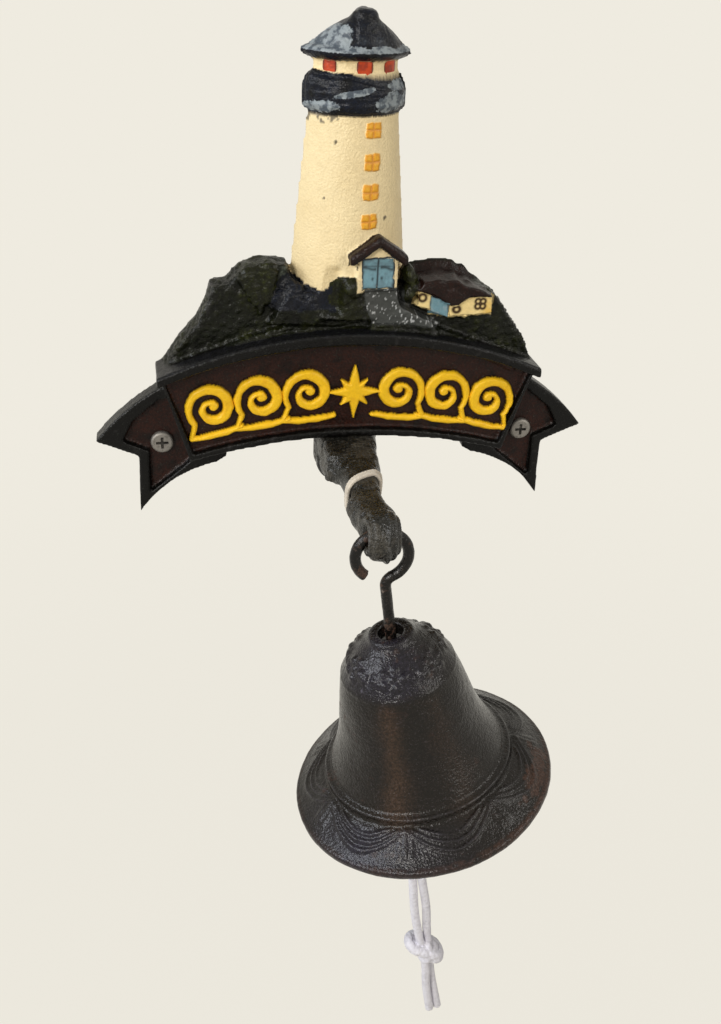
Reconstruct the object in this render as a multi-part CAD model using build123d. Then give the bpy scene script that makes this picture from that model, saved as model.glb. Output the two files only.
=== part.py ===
from build123d import *

import os
from math import acos, cos, degrees, radians, sqrt, tan

# Cast-iron wall bell: a painted tower plaque with a ribbon, a hanger arm, a hook, a bell, a clapper and a pull cord.
# X is right, Z is up and +Y points into the wall, which is the plane Y = 0. The origin lies midway between the two
# wall screws, where the arm's root bears on the wall. The hook, the clapper and the cord hang along one line that
# leans a few degrees to the right, and the bell rides on the hook tilted a little further.

os.makedirs("parts", exist_ok=True)

# Casting in general
DRAFT = 6.0
EDGE_ROUND = 0.8
LUMP_ROUND = 0.7
BACK_WALL = 4.2
POCKET_RIM = 5.0

# Wall screws
SCREW_SPACING = 141.2
SCREW_HEAD_R = 4.3
SCREW_HEAD_SIDE = 0.9
SCREW_HEAD_H = 2.0
SCREW_SHANK_R = 2.1
SCREW_NECK_R = 1.85
SCREW_NECK_OUT = 0.6
SCREW_FREE = 20.0
SCREW_POINT = 4.5
SCREW_TIP_R = 0.4
SCREW_HOLE_CLEAR = 0.25
CROSS_LENGTH = 4.6
CROSS_WIDTH = 1.1
CROSS_DEPTH = 1.3

# Ribbon tails, right-hand side: X and Z on the wall plane
TAIL_TOP = (71.0, 22.5)
TAIL_TOP_BEND = (83.5, 13.6)
TAIL_TIP = (95.0, 1.8)
TAIL_NOTCH = (79.4, -4.8)
TAIL_FOOT = (80.0, -28.6)
TAIL_HEM = (61.0, -12.0)
TAIL_HEM_END = (50.5, -8.6)
TAIL_INNER_X = 46.5
TAIL_RIM_Y = 8.0
TAIL_FIELD_Y = 5.2
TAIL_RIM = 3.2

# Banner
BANNER_HALF = 60.6
BANNER_CORNER_Z = -4.6
BANNER_MID_Z = 3.6
BANNER_TOP_HALF = 70.5
BANNER_RIM_Y = 15.0
BANNER_FIELD_Y = 11.8
BANNER_RIM = 2.7
BANNER_SIDE_RIM = 1.3

# Ledge above the banner
LEDGE_HALF = 71.8
LEDGE_END_Z = 26.6
LEDGE_MID_Z = 41.2
LEDGE_THICK = 4.6
LEDGE_END_SHARE = 0.8
LEDGE_FRONT_Y = 19.0

# Hill behind the ledge
HILL_Y = 9.5
HILL_FRONT_Y = 12.5
HILL_FRONT_RISE = 8.0
HILL_DRAFT = 4.0
LEFT_HILL = [(-70.6, 29.5), (-62.8, 41.2), (-57.0, 47.6), (-53.2, 54.6), (-51.4, 61.4), (-45.4, 62.4), (-41.2, 67.2),
             (-34.0, 70.0), (-24.4, 69.0), (-19.0, 56.0)]
RIGHT_HILL = [(18.0, 60.0), (21.6, 67.2), (32.0, 66.8), (42.4, 65.8), (46.2, 61.0), (53.2, 57.2), (58.0, 51.4),
              (62.6, 45.0), (67.8, 37.6), (71.2, 29.5)]
BUSH_FAN = [(-44.0, 65.0), (-36.0, 68.4), (-26.5, 67.6), (-28.0, 60.0), (-34.0, 49.0)]
BUSH_FAN_Y = 12.0
ROCKS = [(-33.0, 47.0), (-24.6, 60.5), (-15.0, 56.5), (-3.0, 57.0), (-3.0, 46.0)]
ROCKS_Y = 13.4
MID_BUSH_X = -4.6
MID_BUSH_Z = 60.0
MID_BUSH_R = 6.0
MID_BUSH_Y = 17.0

# Tower: turned about one upright axis behind the wall, each height given by its half width at the wall
TOWER_X = -1.3
TOWER_AXIS_Y = 7.0
TOWER_FOOT_Z = 50.0
TOWER_FOOT_HALF = 22.6
TOWER_TOP_Z = 120.5
TOWER_TOP_HALF = 16.0
GALLERY_Z = 119.2
GALLERY_H = 13.0
GALLERY_HALF = 18.0
GALLERY_LIP_HALF = 15.6
LANTERN_HALF = 14.6
EAVE_Z = 136.4
EAVE_H = 3.4
EAVE_HALF = 18.9
ROOF_NECK_Z = 146.6
ROOF_NECK_HALF = 5.0
ROOF_SWEEP = 0.8
KNOB_X = 0.6
KNOB_TOP_Z = 152.0
KNOB_R = 3.7
KNOB_Y = 7.0

# Porch, cottage and path
PORCH_X = 6.9
PORCH_HALF = 7.2
PORCH_FOOT_Z = 61.0
PORCH_EAVE_Z = 72.6
PORCH_PEAK_Z = 77.6
PORCH_WALL_Y = 16.6
PORCH_ROOF_Y = 18.8
PORCH_ROOF_OVER = 2.6
PORCH_ROOF_T = 2.9
DOOR_X = 6.7
DOOR_HALF = 5.7
DOOR_TOP_Z = 71.8
DOOR_DEPTH = 0.5
COTTAGE_ROOF = [(21.8, 60.4), (23.6, 67.2), (30.2, 68.2), (37.8, 67.8), (41.2, 64.6), (47.8, 61.2), (53.2, 56.0),
                (47.6, 57.0), (41.6, 56.2), (38.2, 53.4), (34.6, 53.6), (30.6, 56.0)]
COTTAGE_ROOF_Y = 15.0
COTTAGE_WALL = [(22.6, 53.4), (23.2, 60.0), (34.0, 58.0), (51.4, 58.0), (51.8, 50.0), (35.4, 48.6)]
COTTAGE_WALL_Y = 13.0
PATH = [(1.6, 62.0), (14.6, 62.4), (16.8, 55.0), (21.8, 52.2), (28.2, 49.2), (33.4, 43.0), (5.8, 44.4), (3.4, 54.0)]
PATH_Y = 14.4

# Hanger arm
ARM_ROOT_HALF = 12.2
ARM_ROOT_TOP = 3.0
ARM_ROOT_H = 16.6
ARM_ROOT_LENGTH = 33.0
ARM_ROOT_END_HALF = 9.6
ARM_ROOT_END_X = -1.6
ARM_ROOT_END_H = 14.2
ARM_ROUND = 3.4
NECK_HALF = 6.5
NECK_HALF_H = 6.4
NECK_ROUND = 3.8
NUB_R = 5.2
NUB_X = -3.8
NUB_Y = 57.5
REACH = 76.5
LUG_Z = -4.2
LUG_R = 8.6
LUG_HALF = 5.9
LUG_HOLE_R = 3.7
LUG_MOUTH_ROUND = 2.4
LUG_ROUND = 2.4
SEAM_HALF = 0.6
SEAM_H = 0.5
TONGUE_T = 5.6
TONGUE_TOP = 25.0
TONGUE_CLEAR = 0.3
BOSS_EDGE = 4.5

# Screw that holds the arm to the plate
ARM_SCREW_Z = 17.5
ARM_SCREW_R = 2.5
ARM_SCREW_HEAD_R = 4.7
ARM_SCREW_HEAD_H = 2.6
ARM_SCREW_SINK = 0.3
ARM_SCREW_GRIP = 3.8
ARM_SCREW_CLEAR = 0.1

# Band wound round the arm's neck
BAND_Y = 45.5
BAND_W = 2.6
BAND_T = 1.3
BAND_GAP = 0.15
BAND_SKEW = 9.0

# Hook: open ring through the lug, shank, closed eye inside the bell
WIRE_R = 2.0
HANG_LEAN = 8.6
RING_X = 0.6
RING_DROP = 8.0
RING_R = 9.3
RING_BEND = 4.0
RING_TIP = 225.0
SHANK_TO_CROWN = 31.9
EYE_R = 4.6
EYE_BEND = 2.6
EYE_SWEEP = 292.0

# Bell: radius and depth below the crown's top, measured along its own axis
BELL_TILT = 5.0
BELL_HOLE_R = 4.6
BELL_R = 49.6
BELL_H = 72.2
BELL_WALL = 4.0
CROWN_WALL = 5.0
CROWN_LIP_R = 7.6
CROWN_LIP_EDGE = (8.6, 1.0)
DOME = [(9.4, 2.6), (14.0, 6.2), (18.2, 10.4), (20.9, 15.0), (22.8, 22.0), (24.9, 32.0), (27.2, 42.0), (30.4, 50.4),
        (33.6, 57.0)]
BEAD_R = 34.3
BEAD_H = 58.6
BEAD_OUT = 1.2
BRIM = [(39.2, 62.4), (44.6, 66.4)]
LIP_H = 2.8
LIP_IN = 0.5
LIP_FOOT = 1.6
LIP_FLAT = 3.0

# Clapper, hung in the hook's eye
CROWN_GAP = 0.75
LINK_GAP = 0.4
CLAPPER_WIRE_R = 1.6
CLAPPER_RING_R = 4.7
CLAPPER_NECK_R = 2.2
CLAPPER_WAIST_R = 3.0
STRIKER_R = 8.2
STRIKER_DROP = 60.0
CORD_EYE_DROP = 76.0
CORD_EYE_R = 4.6
CORD_EYE_HOLE_R = 2.3
CORD_EYE_T = 2.0

# Pull cord, doubled through the clapper's lower eye; points are measured from the crown along the hanging line
CORD_D = 3.4
STRAND_X = 3.5
LEFT_LEG = [(-2.9, 0.1, -93.0), (-2.0, -0.1, -111.0), (-2.1, 0.2, -129.0), (-2.8, -0.1, -147.0), (-2.3, -0.6, -163.0),
            (-1.0, -1.6, -179.0), (-1.3, -1.8, -195.0), (-0.6, -1.6, -209.5)]
RIGHT_LEG = [(2.8, -0.1, -92.0), (1.8, 0.1, -110.0), (1.7, -0.1, -128.0), (2.3, 0.2, -146.0), (1.6, 0.8, -162.0),
             (1.4, 1.9, -178.0), (1.8, 1.7, -194.0), (3.0, 2.0, -208.5)]
FILLET_SHARE = 0.45
KNOT_DROP = 171.0
KNOT_CORE_R = 5.2
KNOT_TURN_R = 4.1
KNOT_STRAND_R = 3.1
KNOT_SPREAD = 2.2
KNOT_TILT = 24.0

# Places that follow from the sizes above
LUG = Vector(0, -REACH, LUG_Z)
RING = Location((RING_X, -REACH, LUG_Z - RING_DROP), (0, -HANG_LEAN, 0))
CROWN = RING * Pos(0, 0, -SHANK_TO_CROWN)
BELL = CROWN * Rot(0, -BELL_TILT, 0)
EYE_DROP = CROWN_WALL + CROWN_GAP + sqrt((EYE_R + WIRE_R) ** 2 - BELL_HOLE_R**2)
LINK_DROP = EYE_DROP + EYE_R
CLAPPER_RING_DROP = LINK_DROP - WIRE_R - LINK_GAP - CLAPPER_WIRE_R + CLAPPER_RING_R


def front(distance):
    """The plane parallel to the wall that lies this far out from it, drawn as seen from the room."""
    return Plane(origin=(0, -distance, 0), x_dir=(1, 0, 0), z_dir=(0, -1, 0))


def boss(outline, height, draft=DRAFT):
    """A form that stands out from the wall plane and narrows by the draft as it rises."""
    return extrude(front(0) * outline, amount=height, taper=draft)


def shape_of(points):
    """A flat outline with straight runs between the points."""
    return make_face(Polyline(*points, close=True))


def arch(half, end_z, mid_z):
    """An arc that rises from both ends to the middle."""
    return ThreePointArc((-half, end_z), (0, mid_z), (half, end_z))


def arched_band(low_half, low_end_z, low_mid_z, high_half, high_end_z, high_mid_z):
    """An outline between two arches, with straight ends."""
    low = arch(low_half, low_end_z, low_mid_z)
    high = arch(high_half, high_end_z, high_mid_z)
    return make_face([low, Line(low @ 1, high @ 1), high, Line(high @ 0, low @ 0)])


def tail():
    """Right-hand ribbon tail: swallow-tailed end, curved hem, and a sunk field inside a rim."""
    top = Spline(TAIL_TOP, TAIL_TOP_BEND, TAIL_TIP)
    hem = Spline(TAIL_FOOT, TAIL_HEM, TAIL_HEM_END)
    outline = make_face(
        [
            top,
            Line(TAIL_TIP, TAIL_NOTCH),
            Line(TAIL_NOTCH, TAIL_FOOT),
            hem,
            Line(TAIL_HEM_END, (TAIL_INNER_X, TAIL_HEM_END[1] + 2.5)),
            Line((TAIL_INNER_X, TAIL_HEM_END[1] + 2.5), (TAIL_INNER_X, TAIL_TOP[1])),
            Line((TAIL_INNER_X, TAIL_TOP[1]), TAIL_TOP),
        ]
    )
    field = shape_of(
        [
            (BANNER_HALF - TAIL_RIM, TAIL_TOP[1] - TAIL_RIM),
            (TAIL_TOP[0], TAIL_TOP[1] - 1.4 * TAIL_RIM),
            (TAIL_TOP_BEND[0] - 0.8 * TAIL_RIM, TAIL_TOP_BEND[1] - 1.2 * TAIL_RIM),
            (TAIL_TIP[0] - 3 * TAIL_RIM, TAIL_TIP[1] - 0.1 * TAIL_RIM),
            (TAIL_NOTCH[0] - 1.2 * TAIL_RIM, TAIL_NOTCH[1] + 0.6 * TAIL_RIM),
            (TAIL_FOOT[0] - 1.2 * TAIL_RIM, TAIL_FOOT[1] + 2.4 * TAIL_RIM),
            (TAIL_HEM[0], TAIL_HEM[1] + 1.1 * TAIL_RIM),
            (BANNER_HALF - TAIL_RIM, TAIL_HEM_END[1] + 1.5 * TAIL_RIM),
        ]
    )
    sunk = extrude(front(TAIL_FIELD_Y) * field, amount=TAIL_RIM_Y)
    return boss(outline, TAIL_RIM_Y, 0) - sunk


def banner():
    """Arched band between the tails, with a raised lower rim, thin side rims and a sunk field for an ornament."""
    hidden = LEDGE_THICK / 4
    whole_end = LEDGE_END_Z + 2 * hidden
    whole_mid = LEDGE_MID_Z + 2 * hidden
    whole = arched_band(BANNER_HALF, BANNER_CORNER_Z, BANNER_MID_Z, BANNER_TOP_HALF, whole_end, whole_mid)
    field_low = BANNER_HALF - BANNER_SIDE_RIM
    field_high = BANNER_TOP_HALF - BANNER_SIDE_RIM
    low_end = BANNER_CORNER_Z + BANNER_RIM
    low_mid = BANNER_MID_Z + BANNER_RIM
    field = arched_band(field_low, low_end, low_mid, field_high, LEDGE_END_Z + hidden, LEDGE_MID_Z + hidden)
    return boss(whole, BANNER_RIM_Y, 0) - extrude(front(BANNER_FIELD_Y) * field, amount=BANNER_RIM_Y)


def ledge():
    """Cornice that stands out over the banner, thinner towards its ends, with rounded front edges."""
    end_top = LEDGE_END_Z + LEDGE_END_SHARE * LEDGE_THICK
    outline = arched_band(
        LEDGE_HALF, LEDGE_END_Z, LEDGE_MID_Z, LEDGE_HALF, end_top, LEDGE_MID_Z + LEDGE_THICK
    )
    shelf = boss(outline, LEDGE_FRONT_Y, 0)
    return fillet(shelf.edges().group_by(Axis.Y)[0], EDGE_ROUND)


def hill():
    """Hillside on both sides of the tower, a nearer slope above the ledge, a fan of leaves, rocks and a round bush."""
    foot_z = LEDGE_END_Z + 1
    ends = [(LEDGE_HALF - 1, foot_z), (1 - LEDGE_HALF, foot_z)]
    slope_half = LEDGE_HALF - 2 * LEDGE_THICK
    slope = arched_band(
        slope_half, LEDGE_END_Z + 1, LEDGE_MID_Z + 1, slope_half, LEDGE_END_Z + LEDGE_THICK, LEDGE_MID_Z + HILL_FRONT_RISE
    )
    ground = boss(shape_of([*LEFT_HILL, *RIGHT_HILL, *ends]), HILL_Y, HILL_DRAFT)
    ground += boss(slope, HILL_FRONT_Y, 0)
    ground += boss(shape_of(BUSH_FAN), BUSH_FAN_Y)
    ground += boss(shape_of(ROCKS), ROCKS_Y)
    ground += round_boss(MID_BUSH_X, MID_BUSH_Z, MID_BUSH_R, MID_BUSH_Y)
    return ground


def turned_radius(half):
    """Radius about the tower's axis of a form that is this wide, from its middle, at the wall."""
    return sqrt(half**2 + TOWER_AXIS_Y**2)


def before_wall(z_low, z_high):
    """The room in front of the wall plane between two heights."""
    size = 4 * TOWER_FOOT_HALF
    room = Box(size, size, z_high - z_low, align=(Align.CENTER, Align.MAX, Align.MIN))
    return Pos(TOWER_X, 0, z_low) * room


def tower():
    """Tapered shaft, bulging gallery, lantern room and a hollow-sided roof with a thick eave and a round knob."""
    top = GALLERY_Z + GALLERY_H
    eave_top = EAVE_Z + EAVE_H
    foot = turned_radius(TOWER_FOOT_HALF)
    neck = turned_radius(TOWER_TOP_HALF)
    lip = turned_radius(GALLERY_LIP_HALF)
    drum = turned_radius(LANTERN_HALF)
    eave = turned_radius(EAVE_HALF)
    peak = turned_radius(ROOF_NECK_HALF)
    bulge = ThreePointArc((lip, GALLERY_Z), (turned_radius(GALLERY_HALF), GALLERY_Z + GALLERY_H / 2), (lip, top))
    sweep_mid = ((eave + peak) / 2 - ROOF_SWEEP, (eave_top + ROOF_NECK_Z) / 2 - ROOF_SWEEP)
    hollow = ThreePointArc((eave - ROOF_SWEEP, eave_top), sweep_mid, (peak, ROOF_NECK_Z))
    profile = make_face(
        [
            Line((0, TOWER_FOOT_Z), (foot, TOWER_FOOT_Z)),
            Line((foot, TOWER_FOOT_Z), (neck, GALLERY_Z)),
            Line((neck, GALLERY_Z), bulge @ 0),
            bulge,
            Line(bulge @ 1, (drum, top)),
            Line((drum, top), (drum, EAVE_Z)),
            Line((drum, EAVE_Z), (eave, EAVE_Z + EAVE_H / 2)),
            Line((eave, EAVE_Z + EAVE_H / 2), hollow @ 0),
            hollow,
            Line(hollow @ 1, (0, ROOF_NECK_Z)),
            Line((0, ROOF_NECK_Z), (0, TOWER_FOOT_Z)),
        ]
    )
    form = Pos(TOWER_X, TOWER_AXIS_Y, 0) * revolve(Plane.XZ * profile, axis=Axis.Z)
    form = form & before_wall(TOWER_FOOT_Z, ROOF_NECK_Z)
    return form + round_boss(KNOB_X, KNOB_TOP_Z - KNOB_R, KNOB_R, KNOB_Y)


def round_boss(x, z, radius, height):
    """A round lump on the wall plane with a well-rounded front edge."""
    lump = Pos(x, 0, z) * Rot(90, 0, 0) * Cylinder(radius, height, align=(Align.CENTER, Align.CENTER, Align.MIN))
    return fillet(lump.edges().group_by(Axis.Y)[0], LUMP_ROUND * radius)


def gable(half, foot_z, eave_z, peak_z):
    """Outline of a gabled wall."""
    return shape_of(
        [
            (PORCH_X - half, foot_z),
            (PORCH_X + half, foot_z),
            (PORCH_X + half, eave_z),
            (PORCH_X, peak_z),
            (PORCH_X - half, eave_z),
        ]
    )


def buildings():
    """Porch with its roof and double door, the low cottage and the path that leads down to the ledge."""
    porch = boss(gable(PORCH_HALF, PORCH_FOOT_Z, PORCH_EAVE_Z, PORCH_PEAK_Z), PORCH_WALL_Y, 0)
    slope = (PORCH_PEAK_Z - PORCH_EAVE_Z) / PORCH_HALF
    out = PORCH_HALF + PORCH_ROOF_OVER
    eave = PORCH_PEAK_Z - slope * out
    roof = shape_of(
        [
            (PORCH_X - out, eave),
            (PORCH_X, PORCH_PEAK_Z),
            (PORCH_X + out, eave),
            (PORCH_X + out, eave + PORCH_ROOF_T),
            (PORCH_X, PORCH_PEAK_Z + PORCH_ROOF_T),
            (PORCH_X - out, eave + PORCH_ROOF_T),
        ]
    )
    door = shape_of(
        [
            (DOOR_X - DOOR_HALF, PORCH_FOOT_Z - 1),
            (DOOR_X + DOOR_HALF, PORCH_FOOT_Z - 1),
            (DOOR_X + DOOR_HALF, DOOR_TOP_Z),
            (DOOR_X - DOOR_HALF, DOOR_TOP_Z),
        ]
    )
    porch -= extrude(front(PORCH_WALL_Y - DOOR_DEPTH) * door, amount=2 * DOOR_DEPTH)
    porch += boss(roof, PORCH_ROOF_Y, 0)
    low = boss(shape_of(COTTAGE_WALL), COTTAGE_WALL_Y, 2)
    low += boss(shape_of(COTTAGE_ROOF), COTTAGE_ROOF_Y, 4)
    low += boss(shape_of(PATH), PATH_Y, 3)
    return porch + low


def back_pockets():
    """Hollows in the back that keep the wall even: one behind the banner and hill, one up the tower."""
    slope = (BANNER_TOP_HALF - BANNER_HALF) / (LEDGE_END_Z - BANNER_CORNER_Z)
    low_half = BANNER_HALF - 2 * POCKET_RIM
    high_half = low_half + slope * (LEDGE_END_Z - BANNER_CORNER_Z)
    hall = arched_band(
        low_half, BANNER_CORNER_Z + POCKET_RIM, BANNER_MID_Z + POCKET_RIM, high_half, LEDGE_END_Z, LEDGE_MID_Z
    )
    loft_z = min(LEFT_HILL[4][1], RIGHT_HILL[4][1]) - 2 * POCKET_RIM
    upper = shape_of(
        [
            (-high_half + POCKET_RIM, LEDGE_END_Z),
            (high_half - POCKET_RIM, LEDGE_END_Z),
            (RIGHT_HILL[5][0] - 1.6 * POCKET_RIM, loft_z),
            (LEFT_HILL[3][0] + 1.6 * POCKET_RIM, loft_z),
        ]
    )
    pockets = extrude(front(0) * hall, amount=BANNER_FIELD_Y - BACK_WALL)
    pockets += extrude(front(0) * upper, amount=HILL_Y - BACK_WALL)
    high_z = GALLERY_Z - POCKET_RIM
    inner = Cone(
        turned_radius(TOWER_FOOT_HALF) - BACK_WALL,
        turned_radius(TOWER_TOP_HALF) - BACK_WALL,
        high_z - TOWER_FOOT_Z,
        align=(Align.CENTER, Align.CENTER, Align.MIN),
    )
    shaft = (Pos(TOWER_X, TOWER_AXIS_Y, TOWER_FOOT_Z) * inner) & before_wall(TOWER_FOOT_Z, high_z)
    return pockets, shaft


def tongue_slot():
    """Room for the arm's tongue behind the banner's lower wall, open downwards and to the back."""
    width = 2 * (ARM_ROOT_HALF + TONGUE_CLEAR)
    top = TONGUE_TOP + TONGUE_CLEAR
    slot = Box(width, TONGUE_T, 2 * top, align=(Align.CENTER, Align.MAX, Align.MAX))
    return Pos(0, 0, top) * slot


def boss_pad():
    """Thick stretch of the plate's back on which the tongue lies flat."""
    width = 2 * (ARM_ROOT_HALF + BOSS_EDGE)
    height = TONGUE_TOP + BOSS_EDGE
    return Box(width, BANNER_FIELD_Y, height, align=(Align.CENTER, Align.MAX, Align.MIN))


def wall_plate():
    """The whole painted plaque, cast in one piece, with holes for its screws."""
    right = tail()
    plate = banner() + right + mirror(right, about=Plane.YZ)
    plate += ledge()
    plate += hill()
    plate += tower()
    plate += buildings()
    hall, loft = back_pockets()
    plate -= hall - boss_pad()
    plate -= loft
    plate -= tongue_slot()
    for side in (-1, 1):
        plate -= Pos(side * SCREW_SPACING / 2, 0, 0) * Rot(90, 0, 0) * Cylinder(
            SCREW_SHANK_R + SCREW_HOLE_CLEAR, 4 * TAIL_RIM_Y
        )
    grip = TONGUE_T + ARM_SCREW_GRIP + ARM_SCREW_CLEAR
    plate -= Pos(0, 0, ARM_SCREW_Z) * Rot(90, 0, 0) * Cylinder(
        ARM_SCREW_R + ARM_SCREW_CLEAR, grip, align=(Align.CENTER, Align.CENTER, Align.MIN)
    )
    return plate


def hanger_arm():
    """Arm cast apart from the plate: tongue behind the banner, broad root, neck with a nub, and a round lug."""
    root_mid = ARM_ROOT_TOP - ARM_ROOT_H / 2
    near = front(0) * Pos(0, root_mid) * RectangleRounded(2 * ARM_ROOT_HALF, ARM_ROOT_H, ARM_ROUND)
    far = front(ARM_ROOT_LENGTH) * Pos(ARM_ROOT_END_X, LUG_Z) * RectangleRounded(
        2 * ARM_ROOT_END_HALF, ARM_ROOT_END_H, ARM_ROUND
    )
    arm = loft([near, far])
    arm = fillet(arm.edges().group_by(Axis.Y)[0], ARM_ROUND / 2)
    neck_face = front(ARM_ROOT_LENGTH / 2) * Pos(0, LUG_Z) * RectangleRounded(
        2 * NECK_HALF, 2 * NECK_HALF_H, NECK_ROUND
    )
    lug_bite = LUG_HOLE_R + LUG_MOUTH_ROUND + 0.3
    arm += extrude(neck_face, amount=REACH - lug_bite - ARM_ROOT_LENGTH / 2)
    arm += Pos(NUB_X, -NUB_Y, LUG_Z) * Sphere(NUB_R)
    arm += lug()
    tongue = Box(2 * ARM_ROOT_HALF, TONGUE_T, TONGUE_TOP - LUG_Z, align=(Align.CENTER, Align.MAX, Align.MAX))
    tongue = fillet(tongue.edges().filter_by(Axis.Y).group_by(Axis.Z)[-1], ARM_ROUND)
    arm += Pos(0, 0, TONGUE_TOP) * tongue
    arm -= arm_screw_form(ARM_SCREW_CLEAR)
    return arm


def lug():
    """Round lug with a bell-mouthed cross hole and a mould seam round its rim."""
    mid_r = (LUG_HOLE_R + LUG_R) / 2
    section = Pos(0, mid_r) * Rectangle(2 * LUG_HALF, LUG_R - LUG_HOLE_R)
    inner = section.vertices().group_by(Axis.Y)[0]
    section = fillet(inner, LUG_MOUTH_ROUND)
    outer = section.vertices().group_by(Axis.Y)[-1]
    section = fillet(outer, LUG_ROUND)
    section += Pos(0, LUG_R) * Rectangle(2 * SEAM_HALF, 2 * SEAM_H)
    return Pos(*LUG) * revolve(section, axis=Axis.X)


def arm_screw_form(clear):
    """Countersunk screw from the wall side, as large as the screw itself or as its clearance hole."""
    head_r = ARM_SCREW_HEAD_R + clear
    shank_r = ARM_SCREW_R + clear
    start = -ARM_SCREW_SINK if clear == 0 else 0
    head = Pos(0, -ARM_SCREW_SINK, ARM_SCREW_Z) * Rot(90, 0, 0) * Cone(
        head_r, shank_r, ARM_SCREW_HEAD_H, align=(Align.CENTER, Align.CENTER, Align.MIN)
    )
    shank = Pos(0, start, ARM_SCREW_Z) * Rot(90, 0, 0) * Cylinder(
        shank_r, TONGUE_T + ARM_SCREW_GRIP + start, align=(Align.CENTER, Align.CENTER, Align.MIN)
    )
    form = head + shank
    if clear > 0:
        form += Pos(0, 0, ARM_SCREW_Z) * Rot(90, 0, 0) * Cylinder(
            head_r, ARM_SCREW_SINK, align=(Align.CENTER, Align.CENTER, Align.MIN)
        )
    return form


def cross_recess(depth):
    """Two crossed slots of a cross-head driver, opening upwards at the origin."""
    slot = Box(CROSS_LENGTH, CROSS_WIDTH, depth, align=(Align.CENTER, Align.CENTER, Align.MAX))
    return slot + Rot(0, 0, 90) * slot


def arm_screw():
    """Screw through the tongue into the plate's boss."""
    recess = Pos(0, -ARM_SCREW_SINK, ARM_SCREW_Z) * Rot(-90, 0, 0) * cross_recess(CROSS_DEPTH)
    return arm_screw_form(0) - recess


def wall_screw(side):
    """Pan-head wood screw: head on the tail's field, shank out of the back, conical point."""
    up = (Align.CENTER, Align.CENTER, Align.MIN)
    head = Cylinder(SCREW_HEAD_R, SCREW_HEAD_H, align=up)
    head = fillet(head.edges().group_by(Axis.Z)[-1], SCREW_HEAD_H - SCREW_HEAD_SIDE)
    head -= Pos(0, 0, SCREW_HEAD_H) * cross_recess(CROSS_DEPTH)
    neck_length = TAIL_FIELD_Y + SCREW_NECK_OUT
    shank_length = SCREW_FREE - SCREW_POINT - SCREW_NECK_OUT
    neck = Pos(0, 0, -neck_length) * Cylinder(SCREW_NECK_R, neck_length, align=up)
    shank = Pos(0, 0, -neck_length - shank_length) * Cylinder(SCREW_SHANK_R, shank_length, align=up)
    point = Pos(0, 0, -neck_length - shank_length - SCREW_POINT) * Cone(
        SCREW_TIP_R, SCREW_SHANK_R, SCREW_POINT, align=up
    )
    return Pos(side * SCREW_SPACING / 2, -TAIL_FIELD_Y, 0) * Rot(90, 0, 0) * (head + neck + shank + point)


def arm_band():
    """Flat band round the neck, a little askew."""
    skew = radians(BAND_SKEW)
    inner_x = (NECK_HALF + BAND_GAP) / cos(skew) + BAND_W / 2 * tan(skew)
    inner_z = NECK_HALF_H + BAND_GAP
    outer = RectangleRounded(2 * (inner_x + BAND_T), 2 * (inner_z + BAND_T), NECK_ROUND + BAND_T)
    inner = RectangleRounded(2 * inner_x, 2 * inner_z, NECK_ROUND)
    band = extrude(outer - inner, amount=BAND_W / 2, both=True)
    return Pos(0, -BAND_Y, LUG_Z) * Rot(0, 0, BAND_SKEW) * Rot(90, 0, 0) * band


def bell_hook():
    """One bent wire: open ring through the lug, reverse bend, shank, reverse bend and eye."""
    ring_lean = degrees(acos(RING_BEND / (RING_R + RING_BEND)))
    ring_fall = sqrt((RING_R + RING_BEND) ** 2 - RING_BEND**2)
    eye_lean = degrees(acos(EYE_BEND / (EYE_R + EYE_BEND)))
    eye_rise = sqrt((EYE_R + EYE_BEND) ** 2 - EYE_BEND**2)
    eye_z = -SHANK_TO_CROWN - EYE_DROP
    ring = CenterArc((0, 0), RING_R, RING_TIP, -(RING_TIP + ring_lean))
    bend = CenterArc((RING_BEND, -ring_fall), RING_BEND, 180 - ring_lean, ring_lean)
    shank = Line((0, -ring_fall), (0, eye_z + eye_rise))
    curl = CenterArc((EYE_BEND, eye_z + eye_rise), EYE_BEND, 180, eye_lean)
    eye = CenterArc((0, eye_z), EYE_R, eye_lean, -EYE_SWEEP)
    path = front(0) * Wire([ring, bend, shank, curl, eye])
    section = Plane(origin=path @ 0, z_dir=path % 0) * Circle(WIRE_R)
    hook = sweep(section, path=path)
    return RING * hook


def inset(points, wall):
    """The points moved inwards by the wall, square to the line that they form."""
    moved = []
    for before, here, after in zip(points, points[1:], points[2:]):
        run = after[0] - before[0]
        fall = after[1] - before[1]
        size = sqrt(run**2 + fall**2)
        moved.append((here[0] - wall * fall / size, here[1] + wall * run / size))
    return moved


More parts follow.
